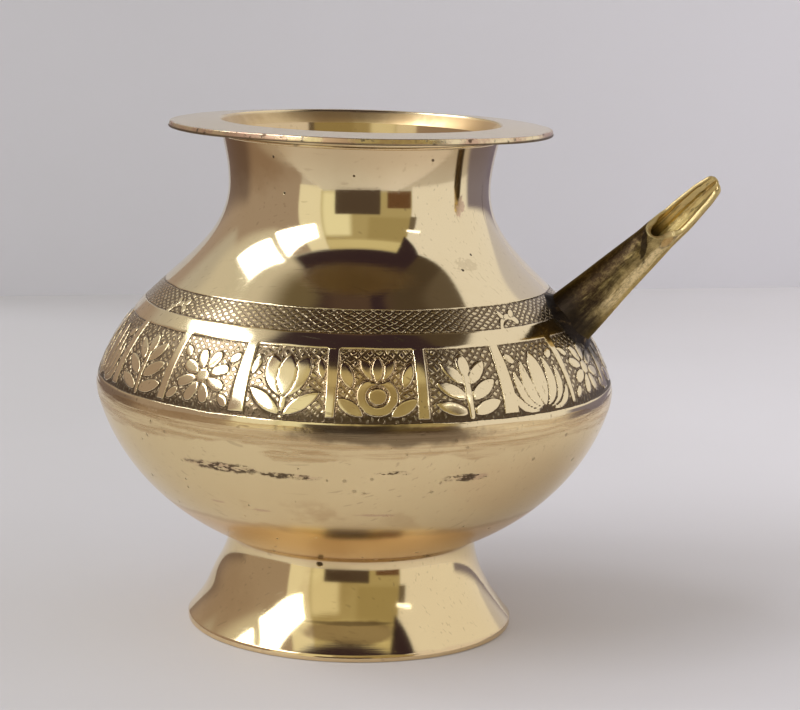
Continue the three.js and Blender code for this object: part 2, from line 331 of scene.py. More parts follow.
FOOT_LIP = (FOOT_RADIUS, FOOT_LIP_HEIGHT)
BELLY = (BELLY_RADIUS, BELLY_Z)
WAIST = (WAIST_RADIUS, WAIST_Z)
NECK_TOP = (NECK_TOP_RADIUS, RIM_UNDER_Z)
BOWL_OUTLINE = curved(
    OUTLINE_POINTS, (0, BOWL_Z), (BOWL_FLOOR_PULL, BOWL_Z),
    leaned(BELLY, BELLY_UNDER_PULL, 180 - BELLY_UNDER_SLOPE), BELLY,
)
SHOULDER_OUTLINE = curved(
    OUTLINE_POINTS, BELLY, leaned(BELLY, BELLY_OVER_PULL, BELLY_OVER_SLOPE),
    leaned(WAIST, -WAIST_UNDER_PULL, 0), WAIST,
)
NECK_OUTLINE = curved(
    OUTLINE_POINTS, WAIST, leaned(WAIST, WAIST_OVER_PULL, 0),
    leaned(NECK_TOP, NECK_TOP_PULL, 180 - NECK_TOP_SLOPE), NECK_TOP,
)
BOWL_OUTLINE, SHOULDER_OUTLINE = eased(BOWL_OUTLINE, SHOULDER_OUTLINE, BELLY_EASE)
UPPER_OUTLINE = np.vstack([SHOULDER_OUTLINE, NECK_OUTLINE[1:]])
FOOT_JOINT_Z = height_at(BOWL_OUTLINE, FOOT_NECK_RADIUS)
FOOT_TOP = (FOOT_NECK_RADIUS, FOOT_JOINT_Z)
FOOT_OUTLINE = curved(
    OUTLINE_POINTS, FOOT_LIP, leaned(FOOT_LIP, FOOT_FLARE_PULL, FOOT_FLARE_SLOPE),
    leaned(FOOT_TOP, -FOOT_NECK_PULL, 0), FOOT_TOP,
)
HEAD_RISE = lengths_along(between(SHOULDER_OUTLINE, GROUND_LOW_Z, GROUND_HIGH_Z))[-1]


# Meshes


def add_object(name, data):
    """A new object of the scene, round a mesh or a camera."""
    made = bpy.data.objects.new(name, data)
    bpy.context.scene.collection.objects.link(made)
    return made


def closed_skin(name, points, rise, marks=None):
    """A closed skin over a grid of points, shape (rows, columns, 3), whose rows and columns both join up.

    Every cell is a quad from (row, column) round to (row + 1, column + 1). The UV map holds the
    turn from 0 to 1 and the given rise of each row. marks are values kept on the vertices by name.
    """
    rows, columns = points.shape[:2]
    index = np.arange(rows * columns).reshape(rows, columns)
    above = np.roll(index, -1, axis=0)
    corners = np.stack([index, np.roll(index, -1, axis=1), np.roll(above, -1, axis=1), above], axis=-1)
    placed = (points.reshape(-1, 3) + [AXIS_X, 0, 0]) * MM
    mesh = bpy.data.meshes.new(name)
    mesh.from_pydata(placed.tolist(), [], corners.reshape(-1, 4).tolist())
    turn, here = np.broadcast_arrays(np.arange(columns) / columns, np.asarray(rise)[:, None])
    there = np.vstack([here[1:], here[-1:]])
    next_turn = turn + 1 / columns
    uv = np.stack([turn, here, next_turn, here, next_turn, there, turn, there], axis=-1)
    mesh.uv_layers.new(name="turn_and_rise").data.foreach_set("uv", uv.astype(np.float32).ravel())
    for label, values in (marks or {}).items():
        attribute = mesh.attributes.new(label, "FLOAT", "POINT")
        attribute.data.foreach_set("value", np.asarray(values, np.float32).ravel())
    mesh.shade_smooth()
    mesh.set_sharp_from_angle(angle=math.radians(SHARP_EDGE))
    return add_object(name, mesh)


def turns(columns=SHELL_COLUMNS):
    """The turn of each column of a skin, as one row."""
    return np.linspace(0, FULL_TURN, columns, endpoint=False)[None, :]


def facing_share(azimuth):
    """How far each column faces an azimuth: the squared cosine of the turn from it, on that side alone."""
    return np.maximum(0, np.cos(turns() - math.radians(azimuth))) ** 2


def turned_grid(section, columns=SHELL_COLUMNS, lift=0.0):
    """Carries a section round the axis: radius times cosine and sine of the turn, and the height.

    lift moves each point along the section's radius, on top of the wobble of the hand-made shell,
    which fades out towards the axis.
    """
    turn = turns(columns)
    radius, height = section[:, :1], section[:, 1:]
    stands = radius + hand_wobble(turn, height) * np.minimum(1, radius / WOBBLE_FADE) + lift
    return np.stack([stands * np.cos(turn), stands * np.sin(turn), height + 0 * turn], axis=-1)


def turned_piece(name, section, lift=0.0):
    """A closed section, given anticlockwise, carried round the axis."""
    return closed_skin(name, turned_grid(section, lift=lift), lengths_along(section))


# Pieces


def foot_skirt():
    """The flared foot: its outline, the same outline set in by the wall, and a rounded edge on the floor.

    One side swells a little half way down, as a foot beaten by hand does.
    """
    inner = evenly(inset(FOOT_OUTLINE, SHELL_WALL), INNER_ROWS)
    inner = inner[inner[:, 1] > FOOT_LIP_HEIGHT]
    section = np.vstack([
        [FOOT_RADIUS - SHELL_WALL, 0.0],
        arc((FOOT_RADIUS - FOOT_EDGE_ROUND, FOOT_EDGE_ROUND), FOOT_EDGE_ROUND, -90, 0, 6),
        evenly(FOOT_OUTLINE, FOOT_ROWS),
        [FOOT_NECK_RADIUS, FOOT_JOINT_Z + JOINT_GAP],
        [inner[-1, 0], FOOT_JOINT_Z],
        inner[::-1],
    ])
    swell = SWELL_AMOUNT * bell(section[:, 1:], SWELL_HEIGHT, SWELL_REACH)
    return turned_piece("foot_skirt", section, swell * facing_share(SWELL_TURN))


def foot_fillet():
    """Braze in the corner under the bowl: a hollow curve between the foot and the bowl."""
    low = (FOOT_NECK_RADIUS - 0.1, FOOT_JOINT_Z - FOOT_BEAD)
    middle = (FOOT_NECK_RADIUS + 0.12 * FOOT_BEAD, FOOT_JOINT_Z - 0.1 * FOOT_BEAD)
    reach = FOOT_NECK_RADIUS + FOOT_BEAD
    hollow = curved(9, low, middle, (reach, height_at(BOWL_OUTLINE, reach) + 0.05))
    return turned_piece("foot_fillet", np.vstack([hollow, [low[0], FOOT_JOINT_Z + 0.25]]))


def bowl_body():
    """The bowl: its outline from the lowest point to the belly, and the same outline set in by the wall.

    The points that meet on the axis are merged, so that each pole is one vertex.
    """
    inner = evenly(inset(BOWL_OUTLINE, SHELL_WALL), INNER_ROWS)
    inner = np.vstack([[0.0, BOWL_Z + SHELL_WALL], inner[inner[:, 0] > 1]])
    piece = turned_piece("bowl_body", np.vstack([evenly(BOWL_OUTLINE, OUTER_ROWS), inner[::-1]]))
    work = bmesh.new()
    work.from_mesh(piece.data)
    bmesh.ops.remove_doubles(work, verts=work.verts, dist=POLE_MERGE * MM)
    work.to_mesh(piece.data)
    work.free()
    return piece


def belly_seam():
    """Filed braze over the belly joint: a thin crown that fades into the bowl and the shoulder."""
    belly = np.vstack([BOWL_OUTLINE[:-1], SHOULDER_OUTLINE])
    stretch = between(belly, BELLY_Z - SEAM_HALF_WIDTH, BELLY_Z + SEAM_HALF_WIDTH)
    strip = evenly(stretch, SEAM_ROWS)
    share = np.linspace(-1, 1, len(strip))[:, None]
    crown = strip + outward_normals(strip) * (SEAM_PROUD * (1 - share**4) - 0.04)
    back = inset(strip, 0.4)
    filed = waves(turns(), (0.05, 11, 0.4)) * waves(turns(), (1, 5, 2.0))
    on_crown = np.repeat([1.0, 0.0], [len(crown), len(back)])[:, None]
    return turned_piece("belly_seam", np.vstack([crown, back[::-1]]), on_crown * filed)


def neck_body():
    """The smooth shoulder and neck above the engraved band, with the inner wall behind."""
    outer = evenly(between(UPPER_OUTLINE, STRIP_HIGH_Z, RIM_JOINT_Z), OUTER_ROWS)
    inner = evenly(inset(outer, SHELL_WALL), INNER_ROWS)
    return turned_piece("neck_body", np.vstack([outer, inner[::-1]]))


def rim_plate():
    """The rim: a thin plate that droops outwards from the mouth, on a short collar over the neck.

    Its section runs up the collar, out along the underside, round the leaning edge face, back over
    the top and down the mouth. The plate sways a little, and its front is lifted.
    """
    edge_z = RIM_UNDER_Z - RIM_DROOP
    neck_here = radius_at(UPPER_OUTLINE, RIM_JOINT_Z)
    bore = (neck_here - SHELL_WALL, RIM_JOINT_Z)
    collar = between(UPPER_OUTLINE, RIM_JOINT_Z, RIM_UNDER_Z - RIM_FILLET)
    fillet_centre = (collar[-1, 0] + RIM_FILLET + 0.02, RIM_UNDER_Z - RIM_FILLET)
    fillet = arc(fillet_centre, RIM_FILLET, 178, 92, 12)
    face_height = RIM_THICKNESS - 2 * RIM_EDGE_ROUND
    face_top = RIM_RADIUS - face_height * math.tan(math.radians(RIM_FACE_LEAN))
    under = np.linspace((fillet[-1, 0] + 0.4, RIM_UNDER_Z - 0.03), (RIM_RADIUS - 1.3, edge_z + 0.04), 24)
    low_centre = (RIM_RADIUS - RIM_EDGE_ROUND, edge_z + RIM_EDGE_ROUND)
    high_centre = (face_top - RIM_EDGE_ROUND, edge_z + RIM_THICKNESS - RIM_EDGE_ROUND)
    edge_low = arc(low_centre, RIM_EDGE_ROUND, -88, RIM_FACE_LEAN, 8)
    edge_high = arc(high_centre, RIM_EDGE_ROUND, RIM_FACE_LEAN, 88, 8)
    face = np.linspace(edge_low[-1], edge_high[0], 6)[1:-1]
    top_outer = (face_top - 1.2, edge_z + RIM_THICKNESS + 0.04)
    top = np.linspace(top_outer, (MOUTH_RADIUS + 0.3, RIM_TOP_Z - 0.01), 30)
    mouth = arc((MOUTH_RADIUS + MOUTH_ROUND, RIM_TOP_Z - MOUTH_ROUND), MOUTH_ROUND, 95, 160, 6)
    knee = (bore[0] + 0.4, (2 * RIM_JOINT_Z + RIM_TOP_Z) / 3)
    wall = curved(14, mouth[-1], knee, bore)[1:]
    base = [neck_here - 0.1, RIM_JOINT_Z - 0.05]
    section = np.vstack([base, collar, fillet, under, edge_low, face, edge_high, top, mouth, wall])
    points = turned_grid(section)
    share = np.clip((section[:, :1] - MOUTH_RADIUS) / (RIM_RADIUS - MOUTH_RADIUS), 0, 1) ** 2
    sway = waves(turns(), (0.07, 3, 2.6), (0.05, 7, 1.0)) - 0.1
    points[..., 2] += share * (sway + RIM_FRONT_LIFT * facing_share(FRONT_TURN))
    return closed_skin("rim_plate", points, lengths_along(section))


def rim_bead():
    """Braze under the rim's collar: a small flattened ring set into the joint."""
    ring = arc((0, 0), 1, -180, 150, 12) * [0.55 * RIM_BEAD, RIM_BEAD]
    return turned_piece("rim_bead", ring + [radius_at(UPPER_OUTLINE, RIM_JOINT_Z) - 0.12, RIM_JOINT_Z])


# Engraved band


def stroke_distance(x, y, spine, widths):
    """Distance to a brush stroke: to the nearest point of its curve, less the half width there.

    A stroke is the points of its Bezier curve and three half widths along it. A layer is a list of
    strokes, and a motif is a list of layers.
    """
    t = np.linspace(0, 1, STROKE_POINTS)
    across, up = bezier(t, *np.array(spine, float)[..., None])
    return (np.hypot(x[..., None] - across, y[..., None] - up) - bezier(t, *widths)).min(axis=-1)


def leaf(start, end, half_width):
    """A stroke that swells from a point to its half width and closes to a point again."""
    return (start, end), (0.1, 2 * half_width, 0.1)


def both(spine, widths):
    """A layer of a stroke and its mirror image."""
    return [(spine, widths), ([(-x, y) for x, y in spine], widths)]


def leaves(start, end, half_width):
    """A layer of two mirrored leaves."""
    return both(*leaf(start, end, half_width))


def petals(swell, *spine):
    """A layer of two mirrored petals that swell along a curve."""
    return both(spine, (0.4, swell, 0.15))


FRUIT = [
    [(((0, 5.0), (0, 5.6)), (3.7, 3.8, 3.6))],
    leaves((0.6, 8.4), (3.2, 12.6), 0.95),
    [leaf((0, 8.2), (0, 13.2), 1.0)],
    leaves((2.6, 1.4), (7.3, 4.6), 1.15),
    leaves((5.0, 7.0), (6.7, 12.0), 1.05),
]
TULIP = [
    [(((0, 0.9), (0, 6.0)), (0.55, 0.55, 0.55))],
    leaves((0.5, 4.8), (3.8, 12.8), 2.0),
    [leaf((0, 5.0), (0, 13.2), 1.75)],
    leaves((0.4, 1.2), (6.8, 5.8), 1.3),
    leaves((7.1, 8.6), (6.3, 12.6), 0.7),
]
SPRAY = [
    leaves((0.4, 1.6), (6.6, 3.6), 1.2),
    leaves((0.4, 4.4), (6.1, 7.8), 1.25),
    leaves((0.4, 7.4), (4.7, 11.8), 1.15),
    [(((0, 0.9), (0, 10.4)), (0.5, 0.7, 0.45)), leaf((0, 9.2), (0, 13.3), 1.3)],
]
LOTUS = [
    petals(1.5, (1.4, 1.2), (4.6, 0.8), (7.0, 2.0), (7.2, 4.8)),
    petals(1.9, (1.2, 1.5), (4.4, 2.4), (6.2, 5.2), (5.9, 8.9)),
    petals(2.2, (0.8, 1.8), (3.0, 3.4), (4.1, 6.6), (3.3, 11.2)),
    [leaf((0, 1.4), (0, 12.8), 1.8)],
    leaves((6.8, 12.6), (5.0, 11.0), 0.75),
]
SPRIG = [
    [(((-3.6, 0.2), (-2.4, 2.8), (0.8, 3.4), (2.0, 1.4)), (0.5, 0.55, 0.75))],
    [leaf((-1.6, 2.4), (-2.4, 4.1), 0.6), leaf((0.8, 2.6), (2.6, 3.9), 0.6)],
]
SPRIG_PANELS = (2, 7, 11, 16)


def rosette():
    """Eight petals round a boss, with a small leaf in each corner of the panel."""
    centre = np.array([0.0, 6.9])
    rays = [np.array([cosine(45 * k + 22.5), sine(45 * k + 22.5)]) for k in range(8)]
    layers = [[((centre + 2.0 * ray, centre + 4.7 * ray), (0.4, 1.4, 1.0))] for ray in rays]
    boss = ((centre, centre + [0, 0.01]), (1.35, 1.35, 1.35))
    corners = [leaves((6.9, y), (0.72 * 6.9, y + step), 0.8) for y, step in ((12.4, -1.9), (1.6, 1.9))]
    return layers + [[boss], corners[0] + corners[1]]


MOTIFS = [FRUIT, LOTUS, SPRAY, rosette(), TULIP, FRUIT, SPRAY, LOTUS, rosette()]


def layered_distance(x, y, layers):
    """Distance to strokes laid in layers: each layer clears a groove round itself in those before it."""
    field = np.full(x.shape, FAR)
    for layer in layers:
        top = np.minimum(FAR, np.min([stroke_distance(x, y, *stroke) for stroke in layer], axis=0))
        field = np.minimum(np.maximum(field, LAYER_GROOVE - top), top)
    return field


def frieze_gap(turn, rise, scale, head, bar_top, strip_top):
    """Distance from the plain metal, below nought inside it, for grids of turn and rise.

    Plain are the edge below the ground, the ornament, the bars, the head bar and all above the
    strip. Each panel draws one motif between two bars that hang from the head bar, and the seeded
    jitter moves and slants it a little, as work cut by eye has.
    """
    jitter = np.random.default_rng(JITTER_SEED)
    panel_turn = FULL_TURN / PANELS
    panel = np.floor(turn / panel_turn).astype(int) % PANELS
    x = (turn - (panel + 0.5) * panel_turn) * scale
    half = panel_turn * scale / 2
    gap = np.full(np.broadcast_shapes(turn.shape, rise.shape), FAR)
    for k in range(PANELS):
        shift, slant, size = jitter.normal(0, (0.2, 0.03, 0.02))
        bar_slant = jitter.normal(0, 0.03)
        columns = np.flatnonzero(panel[0] == k)
        px = (x[:, columns] - shift - slant * (rise - head / 2)) / (1 + size)
        py = np.broadcast_to(rise, px.shape)
        motif = MOTIFS[k % len(MOTIFS)]
        field = layered_distance(px, py, motif)
        if motif is FRUIT:
            from_eye = np.hypot(px, py - EYE_HEIGHT)
            field = np.maximum(field, np.minimum(EYE_OUTER - from_eye, from_eye - EYE_INNER))
        if k in SPRIG_PANELS:
            field = np.minimum(field, layered_distance(px, py - bar_top, SPRIG))
        leaning = x[:, columns] + bar_slant * (py - head)
        beside = np.minimum(np.abs(leaning + half), np.abs(leaning - half)) - BAR_HALF_WIDTH
        bars = np.maximum(beside, np.maximum(0.9 - py, py - head))
        gap[:, columns] = np.minimum(field, bars)
    head_bar = np.maximum(head - rise, rise - bar_top)
    return np.minimum(np.minimum(gap, head_bar), np.minimum(rise, strip_top - rise))


def smooth_noise(shape, reach, seed):
    """Random waves on a grid that joins up: white noise whose quick waves are damped, from -1 to 1."""
    rows, columns = shape
    white = np.random.default_rng(seed).normal(size=shape)
    quick = np.hypot(np.fft.fftfreq(rows)[:, None] * reach, np.fft.fftfreq(columns)[None, :] * reach)
    waved = np.fft.ifft2(np.fft.fft2(white) * np.exp(-((quick * 3) ** 2))).real
    return waved / np.abs(waved).max()


def engraved_band():
    """The chased band: the shoulder's outline, sunk a little where the ground and the strip are cut.

    The depth of each point follows from its distance to the plain metal, which stays on the mesh
    for the finish to cut its lines by.
    """
    outer = evenly(between(SHOULDER_OUTLINE, BELLY_Z, STRIP_HIGH_Z), BAND_ROWS)
    along = lengths_along(outer)
    levels = np.interp([GROUND_LOW_Z, GROUND_HIGH_Z, BAR_HIGH_Z, STRIP_HIGH_Z], outer[:, 1], along)
    head, bar_top, strip_top = levels[1:] - levels[0]
    turn = turns(BAND_COLUMNS)
    rise = (along - levels[0])[:, None]
    scale = np.interp(head / 2, rise[:, 0], outer[:, 0])
    shape = (BAND_ROWS, BAND_COLUMNS)
    waver = EDGE_WAVER * smooth_noise(shape, 9, WAVER_SEED)
    gap = frieze_gap(turn, rise, scale, head, bar_top, strip_top - 0.2) + waver
    cut = smooth_step(gap, -0.1, 0.3)
    depth = (GROUND_DEPTH + (STRIP_DEPTH - GROUND_DEPTH) * smooth_step(rise, head, bar_top)) * cut
    depth = depth + GROUND_GRAIN * smooth_noise(shape, 5, GRAIN_SEED) * (0.35 + cut)
    inner = evenly(inset(outer, SHELL_WALL), 8)
    points = turned_grid(np.vstack([outer, inner[::-1]]), BAND_COLUMNS)
    out, up = outward_normals(outer).T[..., None]
    sunk = [depth * out * np.cos(turn), depth * out * np.sin(turn), depth * up]
    points[:BAND_ROWS] -= np.stack(sunk, axis=-1)
    plain = np.full((len(inner), BAND_COLUMNS), -1.0)
    rises = np.concatenate([rise[:, 0], rise[-1, 0] + lengths_along(inner[::-1])])
    marks = {"plain_gap": np.vstack([np.clip(gap, -1, 2), plain])}
    return closed_skin("engraved_band", points, rises, marks)


# Spout


# Its root on the shoulder, and unit directions along it, upwards, out of its scoop and beside both
ROOT_Z = BELLY_Z + SPOUT_RISE
SPOUT_ALONG = np.array([cosine(SPOUT_LEAN), 0, sine(SPOUT_LEAN)])
SPOUT_UP = np.array([-sine(SPOUT_LEAN), 0, cosine(SPOUT_LEAN)])
SPOUT_OUT = SPOUT_UP * cosine(SCOOP_ROLL) + np.array([0, -1, 0]) * sine(SCOOP_ROLL)
SPOUT_BESIDE = np.cross(SPOUT_ALONG, SPOUT_OUT)
SPOUT_ROOT = np.array([radius_at(SHOULDER_OUTLINE, ROOT_Z), 0, ROOT_Z]) + SPOUT_UP * SPOUT_LIFT


def spout_spot(length, turn, radius):
    """The root, plus a length along the spout, plus a radius out at a turn from the scoop's middle."""
    side = SPOUT_OUT * np.cos(turn)[..., None] + SPOUT_BESIDE * np.sin(turn)[..., None]
    return SPOUT_ROOT + SPOUT_ALONG * length[..., None] + side * radius[..., None]


def wrapped(turn):
    """A turn brought between half a turn back and half a turn on."""
    return np.mod(turn + math.pi, FULL_TURN) - math.pi


def scoop_edge():
    """The cut edge of the scoop as (length along the spout, turn from the scoop's middle).

    It climbs from the heel as one less the cosine of the turn, runs up the lip, crosses the blunt
    tip and comes back by the other lip, which stands a little further out at the tip. Its points
    are spaced evenly along the edge and smoothed.
    """
    bends = (0, SCOOP_LIP_ANGLE - 2, SCOOP_LIP_ANGLE + 12, 180)
    heel, lip, tip = (np.linspace(start, end, EDGE_POINTS) for start, end in zip(bends, bends[1:]))
    share = np.linspace(0, 1, EDGE_POINTS)
    lip_start, lip_end = SCOOP_START + SCOOP_HEEL, SPOUT_LENGTH - SCOOP_BLUNT
    length = np.concatenate([
        SCOOP_START + SCOOP_HEEL * (1 - np.cos(np.radians(heel))),
        lip_start + (lip_end - lip_start) * share,
        lip_end + SCOOP_BLUNT * np.sin(share * math.pi / 2) ** 0.8,
    ])
    angle = np.radians(np.concatenate([heel, lip, tip]))
    length = np.append(length, length[-2:0:-1])
    angle = np.append(angle, FULL_TURN - angle[-2:0:-1])
    far = np.clip(-1.25 * np.sin(angle), 0, 1)
    length = length + SCOOP_FAR_REACH * smooth_step(length, 34, 40) * far
    closed = np.column_stack([np.append(length, length[0]), np.append(angle, FULL_TURN)])
    measure = lengths_along(closed * [1, 2.6])
    wanted = np.linspace(0, measure[-1], SPOUT_COLUMNS, endpoint=False)
    even_turn = turns(SPOUT_COLUMNS)[0]
    ring = np.stack([np.interp(wanted, measure, column) for column in closed.T])
    ring[1] -= even_turn
    for _ in range(3):
        ring = (np.roll(ring, 1, axis=1) + 2 * ring + np.roll(ring, -1, axis=1)) / 4
    return ring[0], ring[1] + even_turn


def spout_radius(length, turn):
    """Outer radius: a cone that opens a little along the scoop, with a raised heel and a dent below it."""
    cone = SPOUT_ROOT_RADIUS - (SPOUT_ROOT_RADIUS - SPOUT_TIP_RADIUS) * length / SPOUT_LENGTH
    opened = SPOUT_FLARE * smooth_step(length, 25, 33) * (1 - 0.7 * smooth_step(length, 37, 41))
    heel = 0.5 * bell(length, SCOOP_START + 0.9, 1.5) * bell(wrapped(turn), 0, 0.8)
    dent = 0.5 * bell(length, 22.0, 1.2) * bell(wrapped(turn - 0.35), 0, 0.75)
    hammered = waves(turn, (0.07, 2, 0.11 * length), (0.04, 3, 0.31 * length + 1))
    return cone - 0.13 + opened + heel - dent + hammered * smooth_step(length, 2, 12)


def spout_body():
    """The spout: outer and inner walls between the root and the scoop's edge, joined by a round lip.

    A column runs from its turn at the root to its own point of the edge, so the lips stay smooth.
    The axis lifts a little towards the tip. The lip is half an ellipse from wall to wall.
    """
    edge_length, edge_turn = scoop_edge()
    share = 1 - (1 - np.linspace(0, 1, SPOUT_ROWS)[:, None]) ** 1.15
    length = -SPOUT_TAIL + (edge_length + SPOUT_TAIL) * share
    turn = turns(SPOUT_COLUMNS) + (edge_turn - turns(SPOUT_COLUMNS)) * share
    outer_radius = spout_radius(length, turn)
    wall = SPOUT_ROOT_WALL + (SPOUT_LIP_WALL - SPOUT_ROOT_WALL) * smooth_step(length, 5, 30)
    heel_fill = SCOOP_HEEL_FILL * bell(length, 26.2, 2.2) * np.maximum(0, np.cos(turn - 0.5))
    near_lip = SPOUT_LIP_SPREAD * smooth_step(length, 22, 27) * np.cos(turn - SPOUT_NEAR_LIP)
    ridges = waves(turn, (0.13, 9, 0.5), (0.05, 17, 0.08 * length)) * smooth_step(length, 22, 28)
    lift = SPOUT_UP * (0.25 * smooth_step(length, 28, 38))[..., None]
    outer = spout_spot(length, turn, outer_radius) + lift
    inner = (spout_spot(length, turn, outer_radius - wall - heel_fill - near_lip + ridges) + lift)[::-1]
    rim_out, rim_in = outer[-1], inner[0]
    run = np.roll(rim_out, -1, axis=0) - np.roll(rim_out, 1, axis=0)
    away = np.cross(run, rim_out - rim_in)
    away /= np.linalg.norm(away, axis=1, keepdims=True)
    away *= np.sign((away[:1] * SPOUT_ALONG).sum())
    bow = np.linspace(0, math.pi, LIP_ROWS + 2)[1:-1, None, None]
    lip = (rim_out + rim_in) / 2 + (rim_out - rim_in) / 2 * np.cos(bow) + 0.35 * away * np.sin(bow)
    blank = np.ones((LIP_ROWS, 1))
    lengths = np.vstack([length, blank * length[-1], length[::-1]])
    all_turns = np.vstack([turn, blank * turn[-1], turn[::-1]])
    row = np.arange(len(lengths))[:, None] + 0 * lengths
    upper = np.cos(all_turns) * cosine(SCOOP_ROLL) + np.sin(all_turns) * SPOUT_BESIDE[2] / cosine(SPOUT_LEAN)
    marks = {
        "bore_side": row >= SPOUT_ROWS + LIP_ROWS,
        "lip_side": smooth_step(np.abs(row - SPOUT_ROWS - LIP_ROWS / 2), LIP_ROWS / 2 + 3, LIP_ROWS / 2 - 1),
        "spout_length": lengths,
        "spout_turn": wrapped(all_turns),
        "upper_side": upper,
    }
    return closed_skin("spout_body", np.vstack([outer, lip, inner]), lengths[:, 0], marks)


def shoulder_meets(turn, radius):
    """Where lines beside the spout's axis meet the shoulder, found by halving the length along them."""
    low = np.full(radius.shape, -SPOUT_SEARCH)
    high = np.full(radius.shape, SPOUT_SEARCH)
    for _ in range(HALVINGS):
        middle = (low + high) / 2
        x, y, z = np.moveaxis(spout_spot(middle, turn, radius), -1, 0)
        outside = np.hypot(x, y) > radius_at(UPPER_OUTLINE, z)
        high = np.where(outside, middle, high)
        low = np.where(outside, low, middle)
    return spout_spot((low + high) / 2, turn, radius)


def spout_collar():
    """Braze round the spout's root: a hollow fillet that follows the shoulder and climbs the tube."""
    turn = turns(SPOUT_COLUMNS)
    share = np.linspace(0, 1, COLLAR_ROWS)[:, None]
    edge = SPOUT_ROOT_RADIUS + COLLAR_SPREAD + waves(turn, (0.3, 3, 0.5), (0.2, 7, 2), (0.12, 13, 0))
    tube = SPOUT_ROOT_RADIUS - 0.2
    top = COLLAR_HEIGHT + waves(turn, (0.25, 2, 1), (0.15, 5, 0))
    radius = np.vstack([edge + (tube - edge) * share, tube - 0.4 + 0 * turn, edge])
    climb = np.vstack([-0.25 + (top + 0.25) * share**1.7, -1.0 + 0 * turn, -1.0 + 0 * turn])
    points = shoulder_meets(np.broadcast_to(turn, radius.shape), radius) + SPOUT_ALONG * climb[..., None]
    return closed_skin("spout_collar", points, np.linspace(0, 3, len(points)))


# Shader building


def feed(socket, value):
    """Links a socket to what another node gives, or sets it to a plain value or colour."""
    value = getattr(value, "socket", value)
    if isinstance(value, bpy.types.NodeSocket):
        socket.id_data.links.new(value, socket)
    elif socket.type == "RGBA":
        socket.default_value = (*value, 1.0)
    else:
        socket.default_value = value


def add(tree, kind, inputs=None, **settings):
    """Adds a shader node to a tree, sets it up and feeds its inputs."""
    node = tree.nodes.new("ShaderNode" + kind)
    for key, value in settings.items():
        setattr(node, key, value)
    for key, value in (inputs or {}).items():
        feed(node.inputs[key], value)
    return node


def made(tree, kind, inputs=None, out=0, **settings):
    """What one output of a new node gives."""
    return Value(add(tree, kind, inputs, **settings).outputs[out])


class Value:
    """What a node gives, a number, a vector or a colour: the signs of arithmetic add nodes to its tree."""

    def __init__(self, socket):
        self.socket = socket
        self.tree = socket.id_data

    def work(self, operation, *others, out=0):
        """One step of arithmetic, by vector where this is a vector or a colour."""
        kind = "Math" if self.socket.type == "VALUE" else "VectorMath"
        return made(self.tree, kind, dict(enumerate((self, *others))), out, operation=operation)

    def __add__(self, other):
        return self.work("ADD", other)

    def __sub__(self, other):
        return self.work("SUBTRACT", other)

    def __rsub__(self, other):
        return self.work("MULTIPLY_ADD", -1.0, other)

    def __mul__(self, other):
        return self.work("MULTIPLY", other)

    def __truediv__(self, other):
        return self.work("DIVIDE", other)

    __rmul__ = __mul__

    def larger(self, other):
        return self.work("MAXIMUM", other)

    def ramp(self, low, high):
        """0 at low and 1 at high, smooth in between; low may be the larger."""
        inputs = {"Value": self, "From Min": low, "From Max": high}
        return made(self.tree, "MapRange", inputs, interpolation_type="SMOOTHSTEP")

    def mix(self, first, second):
        """The colour this share of the way from the first to the second."""
        factor, a, b, result = 0, 6, 7, 2
        inputs = {factor: self, a: first, b: second}
        return made(self.tree, "Mix", inputs, result, data_type="RGBA")

    def noise(self, scale, detail, roughness, out=0):
        """Noise at this place: out 0 is one number, and out 1 three in one."""
        inputs = {"Vector": self, "Scale": scale, "Detail": detail, "Roughness": roughness}
        return made(self.tree, "TexNoise", inputs, out)

    def parts(self):
        """The three numbers of a vector or a colour."""
        return [Value(part) for part in add(self.tree, "SeparateXYZ", {0: self}).outputs]


ORIGIN = (0.0, 0.0, 0.0)


def effect(**sockets):
    """Makes a node group of the function below it, with named sockets in and one amount out.

    The function's name then stands for using the group: it takes the sockets' values in order,
    the first from another node, adds the group to that node's tree and gives its amount.
    """
    def build(work):
        group = bpy.data.node_groups.new(work.__name__, "ShaderNodeTree")
        for label, value in sockets.items():
            kind = "NodeSocketVector" if isinstance(value, tuple) else "NodeSocketFloat"
            group.interface.new_socket(label, in_out="INPUT", socket_type=kind).default_value = value
        group.interface.new_socket("Amount", in_out="OUTPUT", socket_type="NodeSocketFloat")
        start = group.nodes.new("NodeGroupInput")
        end = group.nodes.new("NodeGroupOutput")
        feed(end.inputs["Amount"], work(*(Value(start.outputs[label]) for label in sockets)))

        def use(first, *others):
            inputs = dict(enumerate((first, *others)))
            return made(first.tree, "Group", inputs, node_tree=group)

        return use
    return build


@effect(Place=ORIGIN, Scale=0.1, Low=0.45, High=0.65, Detail=4.0)
def soft_patches(place, scale, low, high, detail):
    """Noise that is cut off below one level and full above another."""
    return place.noise(scale, detail, 0.6).ramp(low, high)


@effect(Place=ORIGIN, Along=0.0, Fineness=3.0)
def turning_rings(place, along, fineness):
    """Rings left by the lathe: noise that hardly changes round the axis and quickly along the wall."""
    x, y, _ = place.parts()
    stretched = made(place.tree, "CombineXYZ", {0: x * 0.035, 1: y * 0.035, 2: along * fineness})
    return stretched.noise(1.0, 5.0, 0.65) - 0.5


@effect(Place=ORIGIN, Scale=0.5, Level=0.68)
def hair_scratches(place, scale, level):
    """Long thin crests of two stretched noises that lie crosswise."""
    lines = []
    for turn, stretch in ((35, (0.14, 3.2, 1.4)), (-50, (0.10, 4.0, 1.8))):
        rotation = (math.radians(turn), 0.3, math.radians(2 * turn))
        laid = made(place.tree, "Mapping", {"Vector": place, "Rotation": rotation, "Scale": stretch})
        lines.append(laid.noise(scale, 1.0, 0.4).ramp(level, level + 0.05))
    return lines[0].larger(lines[1])


